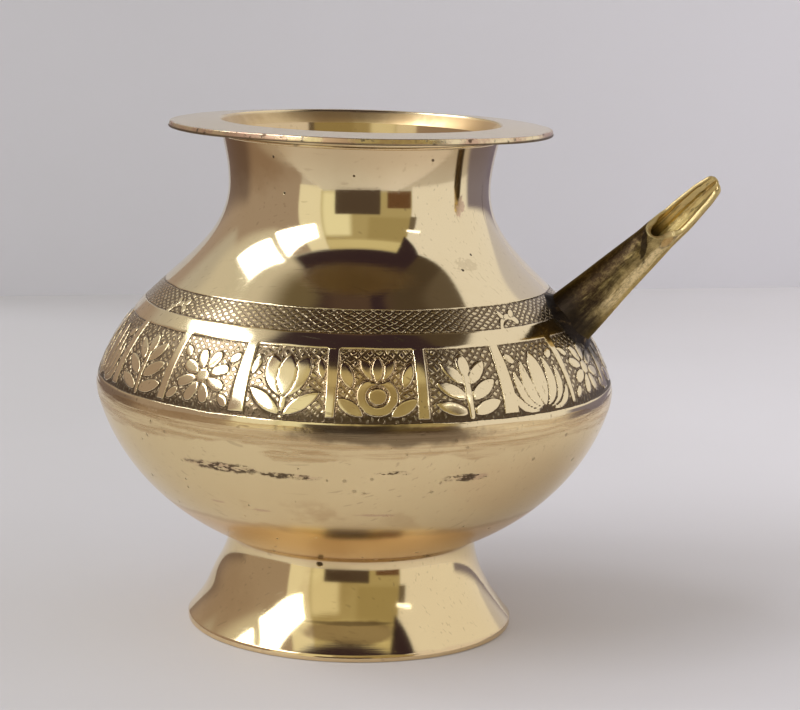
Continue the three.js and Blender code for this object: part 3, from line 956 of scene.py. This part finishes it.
@effect(Place=ORIGIN, Scale=0.5, Share=0.4)
def casting_pits(place, scale, share):
    """The near neighbourhood of scattered points, each with a size of its own."""
    moved = place + place.noise(2.0, 2.0, 0.6, out=1) * (0.5, 0.5, 0.5)
    cells = add(place.tree, "TexVoronoi", {"Vector": moved, "Scale": scale})
    chance, spread, _ = Value(cells.outputs["Color"]).parts()
    size = spread * 0.28 + 0.08
    return Value(cells.outputs["Distance"]).ramp(size, size * 0.55) * chance.work("LESS_THAN", share)


@effect(Place=ORIGIN, Centre=ORIGIN, Azimuth=0.0, Size=(1.0, 1.0, 1.0), Ragged=0.3, Grain=0.4, Edge=0.5)
def placed_mark(place, centre, azimuth, size, ragged, grain, edge):
    """A mark at one place: an upright patch turned to its azimuth, with an uneven edge.

    The distance from its centre is counted in the patch's own half sizes and shifted by noise.
    """
    inputs = {"Vector": place - centre, "Angle": azimuth * -1.0}
    facing = made(place.tree, "VectorRotate", inputs, rotation_type="Z_AXIS")
    reach = (facing / size).work("LENGTH", out=1)
    uneven = place.noise(grain, 3.0, 0.65) - 0.5
    return (uneven * (ragged * 3.0) + reach).ramp(1.0, 1.0 - edge)


@effect(Place=ORIGIN, Low=0.0, High=10.0, Feather=1.0, Ragged=1.0, Grain=0.06)
def level_zone(place, low, high, feather, ragged, grain):
    """A level zone round the pot between two heights, whose edges wander by noise."""
    height = (place.noise(grain, 4.0, 0.6) - 0.5) * (ragged * 2.0) + place.parts()[2]
    return height.ramp(low, low + feather) * height.ramp(high, high - feather)


@effect(Turn=0.0, Rise=0.0, Place=ORIGIN, Count=200.0, Lozenge=1.4, Width=0.3, Waver=0.25)
def crossed_cuts(turn, rise, place, count, lozenge, width, waver):
    """Crossed graver cuts: two families of slanting lines, counted whole round the pot.

    A line lies where the turn times the count, plus or less the rise over the lozenge's height,
    is near a whole number.
    """
    lines = []
    for way, shift in zip((1.0, -1.0), place.noise(0.22, 2.0, 0.6, out=1).parts()):
        phase = rise / lozenge * way + turn * count + shift * waver
        lines.append(phase.work("PINGPONG", 0.5).ramp(width * 0.75, width * 0.3))
    return lines[0].larger(lines[1])


class Finish:
    """A brass being built: a colour, a roughness and a relief in millimetres that marks add to."""

    def __init__(self, name, colour, roughness):
        self.material = bpy.data.materials.new(name)
        self.material.use_nodes = True
        self.tree = self.material.node_tree
        self.shader = self.tree.nodes["Principled BSDF"]
        self.shader.inputs["Metallic"].default_value = 1.0
        spot = made(self.tree, "TexCoord", out="Object")
        inputs = {"Vector": spot, "Location": (-AXIS_X, 0, 0), "Scale": (1 / MM, 1 / MM, 1 / MM)}
        self.place = made(self.tree, "Mapping", inputs)
        x, y, self.height = self.place.parts()
        self.radius = (x * x + y * y).work("SQRT")
        self.colour, self.roughness, self.relief = colour, roughness, 0.0

    def kept(self, label):
        """A value that the mesh keeps on its vertices."""
        return made(self.tree, "Attribute", out="Fac", attribute_name=label)

    def tint(self, amount, colour, roughness):
        """Lays a colour over the metal by an amount, and moves the roughness towards a value."""
        self.colour = amount.mix(self.colour, colour)
        self.roughness = amount * (roughness - self.roughness) + self.roughness

    def raise_by(self, amount, millimetres):
        """Adds an amount times a height to the relief."""
        self.relief = amount * millimetres + self.relief

    def mark(self, azimuth, height, radius, size, ragged, grain, edge):
        """A patch on the surface at an azimuth and a height; size is (into the wall, along, upright).

        ragged is how far its edge wanders, grain how fine, and edge how much of it is soft.
        """
        centre = (radius * cosine(azimuth), radius * sine(azimuth), height)
        return placed_mark(self.place, centre, math.radians(azimuth), size, ragged, grain, edge)

    def stain(self, amount, colour, roughness, *patch):
        """Tints a patch, which is given as mark takes it: azimuth, height, radius, size and so on."""
        self.tint(self.mark(*patch) * amount, colour, roughness)

    def streaks(self, low, high):
        """Streaks drawn round the pot: noise that changes slowly along them and quickly upright."""
        return (self.place * (0.05, 0.05, 1.1)).noise(1.0, 5.0, 0.7).ramp(low, high)

    def wear(self, along, rings, tarnish, scratches):
        """What every polished face carries: uneven tarnish, turning rings and a few hair scratches."""
        self.tint(soft_patches(self.place, 0.045, 0.42, 0.72, 5.0) * tarnish, BRASS_DEEP, 0.2)
        self.raise_by(turning_rings(self.place, along, 2.6), rings)
        faint = hair_scratches(self.place, 0.55, 0.70) * scratches
        self.tint(faint, TARNISH, 0.35)
        self.raise_by(faint, -0.004)

    def front_dark_reflection(self):
        """A painted dark reflection along the belly's edge, darkest at the front, with a ragged, uneven
        edge.
        """
        self.stain(0.8, DARK_REFLECTION, 0.22, -68.0, BELLY_Z - 0.4, 54.0, (9.0, 27.0, 2.7), 0.35, 0.14, 0.45)

    def done(self):
        """Feeds the colour, the roughness and the relief to the shader."""
        bump = made(self.tree, "Bump", {"Height": self.relief, "Distance": MM})
        feed(self.shader.inputs["Base Color"], self.colour)
        feed(self.shader.inputs["Roughness"], self.roughness)
        feed(self.shader.inputs["Normal"], bump)
        return self.material


# Finishes


# Pits in the neck: azimuth, height and half size
NECK_PITS = [
    (-44.5, 100.5, 0.42), (-77.4, 97.3, 0.3), (-108.4, 93.0, 0.35), (-113.0, 100.1, 0.38),
    (-36.6, 79.0, 0.4), (-29.0, 81.5, 0.35), (62.0, 84.0, 0.4), (150.0, 91.0, 0.4),
]
PIT_SPACING = 1.7
# Rows of pits on the bowl: azimuth, height, half length and half height
PITTED_ROWS = [
    (-104.0, 42.0, 10.5, 1.25), (-89.0, 41.6, 7.0, 0.8), (-49.0, 41.4, 6.0, 1.0), (-66.0, 43.0, 4.0, 0.6),
]
# Stains and scratches of the bowl: azimuth, height and half length, and for a stain its amount
BOWL_STAINS = [(-86.0, 32.5, 11.0, 0.45), (-101.0, 35.5, 5.0, 0.35), (-60.0, 31.0, 9.0, 0.3)]
BOWL_SCRATCHES = [(-69.0, 33.3, 5.0), (-110.0, 33.5, 2.0), (-98.0, 32.9, 2.4)]
# Painted shade patches on the inner wall of the mouth: azimuth, half length and amount
MOUTH_SHADE_PATCHES = [(48.0, 17.0, 0.75), (118.0, 6.0, 0.7), (88.0, 3.5, 0.5)]
# Marks on the spout: length, turn, slant, half length, half width, inner edge, colour and amount
SPOUT_MARKS = [
    (22.6, 0.22, 3.6, 0.95, 0.78, -0.5, (0.035, 0.024, 0.016), 0.85),
    (26.5, 1.08, 0.0, 2.2, 0.42, 0.55, (0.06, 0.04, 0.02), 0.7),
    # This row lays a painted orange-brown shade on the face under the heel's lip
    (26.5, 1.08, 0.0, 1.7, 0.32, -0.5, (0.44, 0.26, 0.08), 0.7),
]


def neck_brass():
    """Mirror polish of the smooth shoulder and neck, with its streak, stains, small pits and painted shade
    under the rim.
    """
    finish = Finish("neck_brass", BRASS, 0.065)
    finish.wear(finish.height - finish.radius, 0.003, 0.2, 0.2)
    # Painted shade round the top of the neck under the rim, with two deeper patches at the left and at the
    # right
    finish.tint(level_zone(finish.place, 93.0, 115.0, 9.0, 2.5, 0.08) * 0.5, BUFFED_TINT, 0.12)
    for azimuth, reach in ((-132.0, 17.0), (4.0, 7.0)):
        finish.stain(0.6, BUFFED_TINT, 0.12, azimuth, 99.5, 28.0, (9.0, reach, 9.0), 0.35, 0.1, 0.7)
    finish.stain(0.85, RUN_BROWN, 0.4, -9.0, 90.6, 27.6, (1.5, 0.2, 5.6), 0.25, 0.8, 0.6)
    finish.stain(0.6, COPPER_TINT, 0.3, -27.5, 90.6, 27.2, (2.0, 1.5, 2.4), 0.7, 0.9, 0.35)
    for azimuth, height, size in NECK_PITS:
        radius = radius_at(UPPER_OUTLINE, height)
        pit = finish.mark(azimuth, height, radius, (size, size, size), 0.35, 1.6, 0.5)
        finish.tint(pit * 0.85, PATINA, 0.5)
        finish.raise_by(pit, -0.05)
    finish.stain(0.22, TARNISH, 0.3, -33.0, 79.8, 32.6, (2.0, 3.2, 1.3), 1.0, 1.1, 0.3)
    return finish.done()


def foot_brass():
    """Mirror polish of the foot, with a warm joint line, a painted dark reflection band and line low on its
    front, and spots.
    """
    finish = Finish("foot_brass", BRASS_WARM, 0.07)
    finish.wear(finish.height - finish.radius, 0.004, 0.25, 0.25)
    joint = level_zone(finish.place, FOOT_JOINT_Z - 1.1, FOOT_JOINT_Z + 4, 0.8, 0.5, 0.25)
    finish.tint(joint * 0.35, COPPER_TINT, 0.2)
    finish.stain(0.35, BUFFED_TINT, 0.1, -84.0, 12.0, 28.5, (9.0, 7.0, 12.0), 0.4, 0.1, 0.6)
    pit = finish.mark(-88.6, 18.0, 26.2, (0.9, 0.8, 0.55), 0.3, 1.2, 0.4)
    finish.tint(pit * 0.95, PATINA, 0.5)
    finish.raise_by(pit, -0.12)
    # A painted dark reflection band low on the front of the foot, and a thin painted dark line along its top
    finish.stain(0.72, FOOT_DARK_REFLECTION, 0.1, -75.0, 5.3, 31.0, (6.0, 11.5, 2.6), 0.2, 0.12, 0.3)
    finish.stain(0.6, DARK_REFLECTION, 0.12, -75.0, 6.9, 31.0, (6.0, 12.0, 0.55), 0.1, 0.12, 0.5)
    finish.stain(0.3, BUFFED_TINT, 0.12, -140.0, 10.0, 29.5, (9.0, 14.0, 12.0), 0.4, 0.08, 0.6)
    finish.tint(level_zone(finish.place, -4.0, 1.9, 0.7, 0.4, 0.3) * 0.25, COPPER_TINT, 0.2)
    return finish.done()


def bowl_brass():
    """Softer polish of the bowl: buffed under the seam, heat-tinted above the foot, pitted in rows."""
    finish = Finish("bowl_brass", BRASS_WARM, 0.19)
    place = finish.place
    finish.wear(finish.height + finish.radius, 0.006, 0.35, 0.3)
    finish.tint(level_zone(place, 49.2, 70.0, 0.8, 1.2, 0.06) * 0.2, BRASS_DEEP, 0.11)
    streaks = finish.streaks(0.40, 0.62)
    buffed = level_zone(place, 46.4, 52.5, 0.7, 3.6, 0.045)
    finish.tint(buffed * (streaks * 0.6 + 0.1), BUFFED_TINT, 0.33)
    finish.raise_by(turning_rings(place, finish.height, 7.0) * buffed, 0.03)
    smear = finish.mark(-86.0, 46.0, 52.7, (4.0, 12.0, 1.5), 0.7, 0.12, 0.35)
    finish.tint(smear * (streaks * 0.5 + 0.25), BUFFED_TINT, 0.36)
    finish.stain(0.22, HEAT_TINT, 0.2, -34.0, 38.0, 50.0, (12.0, 24.0, 13.0), 0.4, 0.06, 0.7)
    finish.tint(level_zone(place, 10.0, 29.2, 2.2, 1.6, 0.07) * 0.62, HEAT_TINT, 0.22)
    # Painted dark reflection along the belly's edge at the front
    finish.front_dark_reflection()
    finish.tint(level_zone(place, 27.4, 29.4, 0.9, 1.8, 0.09) * 0.45, BUFFED_TINT, 0.25)
    worn = place * (0.5, 0.5, 1.4)
    rows = 0.0
    for azimuth, height, half, tall in PITTED_ROWS:
        rows = finish.mark(azimuth, height, 51.0, (3.0, half, tall), 0.35, 0.5, 0.45).larger(rows)
    finish.tint(worn.noise(0.4, 3.0, 0.6).ramp(0.42, 0.6) * rows * 0.45, COPPER_TINT, 0.3)
    dashes = worn.noise(0.75, 4.0, 0.72).ramp(0.46, 0.55) * rows
    pitted = dashes.larger(casting_pits(place, 1 / PIT_SPACING, 0.12) * 0.4)
    mottle = soft_patches(place, 0.11, 0.5, 0.64, 6.0)
    for azimuth, height, half, amount in BOWL_STAINS:
        stain = finish.mark(azimuth, height, 47.0, (8.0, half, 4.5), 0.5, 0.12, 0.7)
        finish.tint(mottle * stain * amount, BUFFED_TINT, 0.28)
    finish.tint(pitted * 0.9, PIT_BROWN, 0.5)
    finish.raise_by(pitted, -0.06)
    for azimuth, height, half in BOWL_SCRATCHES:
        radius = radius_at(BOWL_OUTLINE, height)
        finish.stain(0.5, COPPER_TINT, 0.35, azimuth, height, radius, (2.0, half, 0.35), 0.5, 0.8, 0.5)
    return finish.done()


def rim_brass():
    """Dulled polish of the rim: coppery stains along its edge, painted shade on its underside, and painted
    shade patches inside the mouth.
    """
    finish = Finish("rim_brass", BRASS, 0.15)
    place, radius = finish.place, finish.radius
    finish.wear(radius, 0.005, 0.3, 0.3)
    edge = radius.ramp(RIM_RADIUS - 1.1, RIM_RADIUS - 0.3)
    finish.tint(edge * soft_patches(place, 0.14, 0.40, 0.60, 6.0) * 0.85, COPPER_TINT, 0.32)
    finish.tint(edge * soft_patches(place, 0.6, 0.58, 0.66, 4.0) * 0.8, PATINA, 0.5)
    finish.tint(soft_patches(place, 0.25, 0.6, 0.72, 6.0) * 0.35, COPPER_TINT, 0.3)
    # Painted shade on the underside of the rim, where it overhangs the neck
    low = finish.height.ramp(RIM_UNDER_Z + 0.15, RIM_UNDER_Z - 0.15)
    under = low * radius.ramp(NECK_TOP_RADIUS, NECK_TOP_RADIUS + 0.8)
    finish.tint(under * 0.85, TARNISH, 0.38)
    finish.tint(under * 0.55, PATINA, 0.4)
    inside = radius.ramp(MOUTH_RADIUS + 0.1, MOUTH_RADIUS - 0.5)
    finish.tint(inside * 0.85, THROAT_TINT, 0.42)
    # Painted shade on the far inner wall of the mouth
    for azimuth, half, amount in MOUTH_SHADE_PATCHES:
        shade_patch = finish.mark(azimuth, RIM_TOP_Z - 3.0, MOUTH_RADIUS - 1.0, (5.0, half, 8.0), 0.5, 0.2, 0.4)
        finish.tint(inside * shade_patch * amount, BUFFED_TINT, 0.45)
    finish.tint(inside * soft_patches(place, 0.10, 0.42, 0.62, 5.0) * 0.5, BUFFED_TINT, 0.42)
    return finish.done()


def band_brass():
    """The chased band: polished plain metal, and a ground that crossed graver cuts fill with patina."""
    finish = Finish("band_brass", BRASS, 0.10)
    place = finish.place
    finish.wear(finish.height, 0.004, 0.3, 0.45)
    turn, rise, _ = made(finish.tree, "UVMap", uv_map="turn_and_rise").parts()
    uneven = place.noise(1.3, 2.0, 0.6) - 0.5
    gap = uneven * 0.22 + finish.kept("plain_gap")
    cut = gap.ramp(-0.02, 0.14)
    strip = rise.ramp(HEAD_RISE, HEAD_RISE + 1.0)
    wide = crossed_cuts(turn, rise, place, 172.0, 1.7, 0.40, 2.2)
    fine = crossed_cuts(turn, rise, place, 134.0, 1.35, 0.34, 1.4)
    upright = crossed_cuts(turn, rise, place, 290.0, 9.0, 0.5, 1.6)
    fringe = (uneven * 3.0 + rise).ramp(FRINGE_HEIGHT + 0.8, FRINGE_HEIGHT - 0.8) * cut
    lines = ((wide * (1.0 - strip) + fine * strip) * cut).larger(upright * fringe)
    groove = gap.ramp(0.0, 0.10) * gap.ramp(0.36, 0.22)
    dim = soft_patches(place, 0.07, 0.35, 0.7, 4.0) * 0.2 + 0.12
    finish.tint(cut * dim, TARNISH, 0.26)
    finish.tint(lines * 0.84, CUT_LINE, 0.33)
    finish.tint(fringe * 0.7, PATINA, 0.4)
    finish.tint(groove * 0.62, CUT_LINE, 0.33)
    finish.raise_by(lines, -0.12)
    finish.raise_by(groove, -0.09)
    finish.raise_by(gap.ramp(-0.1, 0.12), -0.08)
    finish.stain(0.85, SOOT, 0.45, 0.0, ROOT_Z - 2.0, 46.5, (7.0, 10.0, 9.0), 0.7, 0.22, 0.35)
    # Painted dark reflection across the front of the band
    finish.stain(0.5, BUFFED_TINT, 0.14, -74.0, BELLY_Z + 9.0, 49.5, (9.0, 15.0, 9.0), 0.4, 0.1, 0.6)
    edge = (uneven * 0.9 + rise).ramp(-0.9, -1.5)
    finish.tint(edge * finish.streaks(0.40, 0.60) * 0.5, BUFFED_TINT, 0.24)
    # Painted dark reflection along the belly's edge at the front
    finish.front_dark_reflection()
    return finish.done()


def seam_brass():
    """Filed braze at the belly: brushed along the seam and browned, with dark pores."""
    finish = Finish("seam_brass", BRASS_WARM, 0.12)
    finish.wear(finish.height, 0.02, 0.4, 0.5)
    patches = soft_patches(finish.place, 0.05, 0.38, 0.6, 5.0)
    finish.tint(finish.streaks(0.38, 0.60).larger(patches) * 0.6, BUFFED_TINT, 0.25)
    burnt = soft_patches(finish.place, 0.14, 0.56, 0.68, 6.0)
    finish.tint(burnt * 0.6, PATINA, 0.4)
    # Painted dark reflection along the belly's edge at the front
    finish.front_dark_reflection()
    finish.raise_by(burnt, -0.04)
    return finish.done()


def spout_brass():
    """Unpolished spout: sooty at the root and on top, rubbed gold below and along the scoop's lips, with
    painted shade deep in the bore, painted dark reflection streaks inside it and painted shade under the
    heel.
    """
    finish = Finish("spout_brass", SPOUT_GOLD, 0.36)
    feed(finish.shader.inputs["Specular Tint"], SPOUT_EDGE)
    place = finish.place
    length, turn, bore = (finish.kept(label) for label in ("spout_length", "spout_turn", "bore_side"))
    outside = 1.0 - bore
    uneven = place.noise(0.22, 6.0, 0.7)
    finish.tint((uneven.ramp(0.36, 0.60) * 0.5 + 0.3) * outside, SPOUT_DULL, 0.36)
    inputs = {"Vector": place, "Angle": math.radians(SPOUT_LEAN)}
    laid = made(finish.tree, "VectorRotate", inputs, rotation_type="Y_AXIS")
    grain = (laid * (0.16, 1.5, 1.5)).noise(1.0, 4.0, 0.65)
    rough = grain - 0.5
    sooty = finish.kept("upper_side") * 0.9 + (length * -0.03 + 1.15)
    sooty = sooty + rough * 1.6 + (uneven - 0.5) * 1.5
    finish.tint(outside * sooty.ramp(0.1, 1.0), PATINA, 0.42)
    aside = (turn - 1.22) / 0.36
    stripe = (rough * 3.2 + aside * aside).ramp(1.0, 0.1) * length.ramp(6.0, 10.0)
    finish.tint(stripe * outside * 0.95, SPOUT_RUBBED, 0.3)
    specks = place.noise(1.1, 5.0, 0.75).ramp(0.46, 0.60)
    finish.tint(specks * outside * 0.42, SPOUT_SPECK, 0.45)
    finish.tint((uneven * -9.0 + length).ramp(5.0, -3.0) * 0.9, SOOT, 0.5)
    # Painted dark reflection streaks along the inside of the bore
    finish.tint(grain.ramp(0.52, 0.60) * bore * 0.6, SPOUT_BORE_REFLECTION, 0.36)
    # Painted shade deeper inside the bore, towards the closed part of the tube
    finish.tint(length.ramp(27.0, 21.0) * bore, SOOT, 0.6)
    for at_length, at_turn, slant, long, wide, inner, colour, amount in SPOUT_MARKS:
        aside = turn - at_turn
        ahead = (aside * slant + (length - at_length)) / long
        aside = aside / wide
        reach = rough * 1.6 + (ahead * ahead + aside * aside).work("SQRT")
        patch = reach.ramp(1.05, 0.7) * reach.ramp(inner, inner + 0.3) * outside
        finish.tint(patch * amount, colour, 0.4)
        finish.raise_by(patch, -0.12)
    finish.tint(finish.kept("lip_side") * length.ramp(20.0, 24.0) * 0.8, SPOUT_LIP, 0.5)
    finish.raise_by(grain, 0.10)
    finish.raise_by(place.noise(0.9, 4.0, 0.65), 0.10)
    return finish.done()


def joint_brass():
    """Braze left as it set: nearly black with burnt flux, brown where it was wiped."""
    finish = Finish("joint_brass", SOOT, 0.5)
    finish.tint(soft_patches(finish.place, 0.3, 0.52, 0.72, 6.0) * 0.55, BUFFED_TINT, 0.34)
    finish.raise_by(finish.place.noise(0.8, 5.0, 0.65), 0.22)
    return finish.done()


# Stage


# The photograph's own directions: to its right, level towards the camera, and upright
RIGHT = np.array([cosine(CAMERA_TURN), sine(CAMERA_TURN), 0])
FACING = np.array([sine(CAMERA_TURN), -cosine(CAMERA_TURN), 0])
UPRIGHT = np.array([0, 0, 1.0])
MIDDLE = np.array([AXIS_X, 0, 0])
# Each pair is a shaded tone on the left and a lit tone on the right: painted light across the floor and the
# wall
FLOOR_SHADE_TO_LIGHT = (0.51, 0.495, 0.497), (0.64, 0.617, 0.635)
WALL_SHADE_TO_LIGHT = (0.53, 0.525, 0.565), (0.608, 0.60, 0.66)
WALL_GLOW = 0.07
WALL_DISTANCE = 465
WALL_TURN = CAMERA_TURN + 15
WALL_LEFT = 215
WALL_RIGHT = 240
WALL_HEIGHT = 700
FLOOR_FRONT = 370
FLOOR_BACK = 1100
FLOOR_LEFT = 205
FLOOR_RIGHT = 225


def add_camera():
    """The camera stands off the axis towards the viewer, looks down by its pitch and is rolled a little."""
    back = FACING * cosine(CAMERA_PITCH) + UPRIGHT * sine(CAMERA_PITCH)
    up = -FACING * sine(CAMERA_PITCH) + UPRIGHT * cosine(CAMERA_PITCH)
    level = RIGHT * cosine(CAMERA_ROLL) + up * sine(CAMERA_ROLL)
    top = -RIGHT * sine(CAMERA_ROLL) + up * cosine(CAMERA_ROLL)
    spot = (MIDDLE + RIGHT * CAMERA_SIDE + FACING * CAMERA_DISTANCE + UPRIGHT * CAMERA_HEIGHT) * MM
    data = bpy.data.cameras.new("photo_camera")
    data.lens = CAMERA_LENS
    data.sensor_width = FILM_WIDTH
    data.clip_start = 0.01
    camera = add_object("photo_camera", data)
    camera.matrix_world = Matrix([*np.column_stack([level, top, back, spot]).tolist(), [0, 0, 0, 1]])
    bpy.context.scene.camera = camera


def stage_surface(name, corners, paint):
    """A flat sheet of the stage, from four corners in order."""
    mesh = bpy.data.meshes.new(name)
    mesh.from_pydata((np.array(corners) * MM).tolist(), [], [(0, 1, 2, 3)])
    mesh.materials.append(paint)
    add_object(name, mesh)


def stage_paint(name, left, right, glow=0.0):
    """Matt paint with faint broad patches and painted light that grows paler from left to right, clear from
    behind.

    glow lifts its tone for the camera and for reflections alone, so that it lights nothing.
    """
    material = bpy.data.materials.new(name)
    material.use_nodes = True
    tree = material.node_tree
    shader = tree.nodes["Principled BSDF"]
    place = made(tree, "TexCoord", out="Object")
    across = place.work("DOT_PRODUCT", tuple(RIGHT), out=1).ramp(-0.12, 0.18)
    patches = (place.noise(6.0, 4.0, 0.55) - 0.5) * 0.5
    paint = (patches + across).larger(0.0).work("MINIMUM", 1.0).mix(left, right)
    path = add(tree, "LightPath")
    looked_at = Value(path.outputs["Is Camera Ray"]).larger(path.outputs["Is Glossy Ray"])
    for label, value in (("Roughness", 0.6), ("Base Color", paint), ("Emission Color", paint),
                         ("Emission Strength", looked_at * glow)):
        feed(shader.inputs[label], value)
    behind = made(tree, "NewGeometry", out="Backfacing")
    seen = made(tree, "MixShader", {0: behind, 1: shader.outputs[0], 2: made(tree, "BsdfTransparent")})
    feed(tree.nodes["Material Output"].inputs["Surface"], seen)
    return material


def add_stage():
    """A pale floor, and a pale wall behind the pot that runs off a little to the right."""
    front, back = MIDDLE + FACING * FLOOR_FRONT, MIDDLE - FACING * FLOOR_BACK
    left, right = -RIGHT * FLOOR_LEFT, RIGHT * FLOOR_RIGHT
    corners = [front + left, front + right, back + right, back + left]
    stage_surface("floor", corners, stage_paint("floor_paint", *FLOOR_SHADE_TO_LIGHT))
    foot_of_wall = MIDDLE - FACING * WALL_DISTANCE
    run = np.array([cosine(WALL_TURN), sine(WALL_TURN), 0])
    left, right = foot_of_wall - run * WALL_LEFT, foot_of_wall + run * WALL_RIGHT
    rise = UPRIGHT * WALL_HEIGHT
    wall_paint = stage_paint("wall_paint", *WALL_SHADE_TO_LIGHT, WALL_GLOW)
    stage_surface("back_wall", [left, right, right + rise, left + rise], wall_paint)


# Studio panels that light the pot: name, azimuths from left to right, elevations from low to high,
# softness of the edges, colour, and where its level edges slant, how much the low and the high one do.
# Azimuth is counted from the camera to its right.
STUDIO = [
    ("floor_beyond", -400, 400, -100, -14, 1.0, (0.56, 0.53, 0.52)),
    ("ceiling", -400, 400, 58, 120, 2.5, (0.037, 0.022, 0.030)),
    ("ceiling_left", -400, -80, 58, 120, 16.0, (0.15, 0.12, 0.075)),
    ("ceiling_edge", 47, 400, 50, 120, 1.5, (0.075, 0.055, 0.038)),
    ("ceiling_right", 98, 400, 54, 120, 5.0, (0.12, 0.095, 0.072)),
    ("overhead", -400, 400, 79, 130, 8.0, (0.085, 0.055, 0.045)),
    ("left_wall", -190, -52, -24, 57, 2.5, (0.37, 0.30, 0.265)),
    ("left_wall_foot", -172, -110, -24, 2, 14.0, (0.19, 0.145, 0.135)),
    ("left_wall_glow", -190, -122, 20, 57, 9.0, (0.49, 0.465, 0.44)),
    ("left_post", -53, -32, -16, 57, 1.0, (0.83, 0.80, 0.67)),
    ("front_wall", -33, 47, -13, 58, 1.2, (0.43, 0.37, 0.21)),
    ("front_wall_left", -32, -8, -13, 42, 6.0, (0.84, 0.82, 0.62)),
    ("front_wall_low", -32, 47, 47, 57, 3.0, (0.62, 0.56, 0.34)),
    ("front_wall_right", 8, 47, 16, 46, 6.0, (0.36, 0.30, 0.155)),
    ("low_bench", -21, 18, -15, 13, 1.5, (0.085, 0.062, 0.050)),
    ("low_shelf", 24, 46, -13, 4, 1.5, (0.14, 0.075, 0.04)),
    ("right_wall", 47, 200, -16, 55, 1.0, (0.82, 0.80, 0.81)),
    ("right_wall_far", 138, 200, 2, 52, 3.0, (0.57, 0.56, 0.64)),
    ("right_shade", 108, 200, -24, 2, 6.0, (0.22, 0.20, 0.27)),
    ("right_corner", 44, 69, 47.5, 120, 1.2, (0.037, 0.022, 0.030), 0.65, 0),
    ("right_gap", 46, 52, 14, 34, 1.0, (0.16, 0.13, 0.10)),
    ("slit_lamp", 45, 58, 31, 33.5, 0.8, (3.0, 3.0, 3.0)),
    ("window_glow", -136, -76, 30, 62, 10.0, (0.62, 0.585, 0.53), 0, 0.15),
    ("left_window", -121, -86, 38, 53.5, 1.5, (6.3, 6.6, 7.1), 0, 0.22),
    ("left_sill", -124, -114, 42, 66, 1.5, (0.60, 0.57, 0.51), 2.0, 0),
    ("near_window", -79, -39, 30.5, 49.5, 2.0, (8.2, 8.5, 9.1), -0.19, -0.33),
]
AMBIENT = (0.41, 0.405, 0.41)
NO_LIGHT = (0.0, 0.0, 0.0)
ROOM_COLOUR = (0.5, 0.49, 0.48)
BACKGROUND_COLOUR = (0.60, 0.585, 0.595)


@effect(
    Azimuth=0.0, Elevation=0.0, Left=0.0, Right=10.0, Low=0.0, High=10.0, Soft=1.0, LowLean=0.0, HighLean=0.0
)
def room_panel(azimuth, elevation, left, right, low, high, soft, low_lean, high_lean):
    """One panel of the room: what share of a direction falls between its azimuths and elevations.

    Each level edge may slant: its elevation grows by its lean for each degree from the middle.
    """
    aside = azimuth - (left + right) * 0.5
    amount = 1.0
    for value, edge, sign in (
        (azimuth, left, 0.5), (azimuth, right, -0.5),
        (elevation, aside * low_lean + low, 0.5), (elevation, aside * high_lean + high, -0.5),
    ):
        half = soft * sign
        amount = value.ramp(edge - half, edge + half) * amount
    return amount


def add_studio():
    """The world: plain panels round the pot for light and reflections, and one pale tone for the camera.

    Matt surfaces also get an even ambient share, so that the shadow on the floor stays soft.
    """
    world = bpy.data.worlds.new("studio")
    world.use_nodes = True
    bpy.context.scene.world = world
    tree = world.node_tree
    direction = made(tree, "TexCoord", out="Generated")
    aside, ahead = (direction.work("DOT_PRODUCT", tuple(way), out=1) for way in (RIGHT, FACING))
    azimuth = aside.work("ARCTAN2", ahead).work("DEGREES")
    elevation = direction.parts()[2].work("ARCSINE").work("DEGREES")
    light = ROOM_COLOUR
    for _, left, right, low, high, soft, colour, *leans in STUDIO:
        light = room_panel(azimuth, elevation, left, right, low, high, soft, *leans).mix(light, colour)
    path = add(tree, "LightPath")
    ambient = Value(path.outputs["Is Diffuse Ray"]).mix(NO_LIGHT, AMBIENT)
    background = tree.nodes["Background"]
    feed(background.inputs["Color"], light + ambient)
    plain = made(tree, "Background", {"Color": BACKGROUND_COLOUR, "Strength": 1.0})
    ways = {0: path.outputs["Is Camera Ray"], 1: background.outputs[0], 2: plain}
    feed(tree.nodes["World Output"].inputs["Surface"], made(tree, "MixShader", ways))


# Assembly


def place_piece(piece, material, node):
    """Gives a piece its finish, and sets it in the frame for the CAD node that it stands for."""
    piece.data.materials.append(material)
    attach(piece, "root")
    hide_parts(node)


add_camera()
add_stage()
add_studio()
bpy.context.scene.view_settings.view_transform = "Standard"

joint_finish = joint_brass()
seam_finish = seam_brass()
place_piece(foot_skirt(), foot_brass(), "foot_ring")
place_piece(foot_fillet(), seam_finish, "foot_braze")
place_piece(bowl_body(), bowl_brass(), "bowl_shell")
place_piece(belly_seam(), seam_finish, "belly_braze")
place_piece(engraved_band(), band_brass(), "shoulder_shell")
place_piece(neck_body(), neck_brass(), "shoulder_shell")
place_piece(rim_plate(), rim_brass(), "rim_flange")
place_piece(rim_bead(), seam_finish, "rim_braze")
place_piece(spout_body(), spout_brass(), "spout_tube")
place_piece(spout_collar(), joint_finish, "spout_braze")
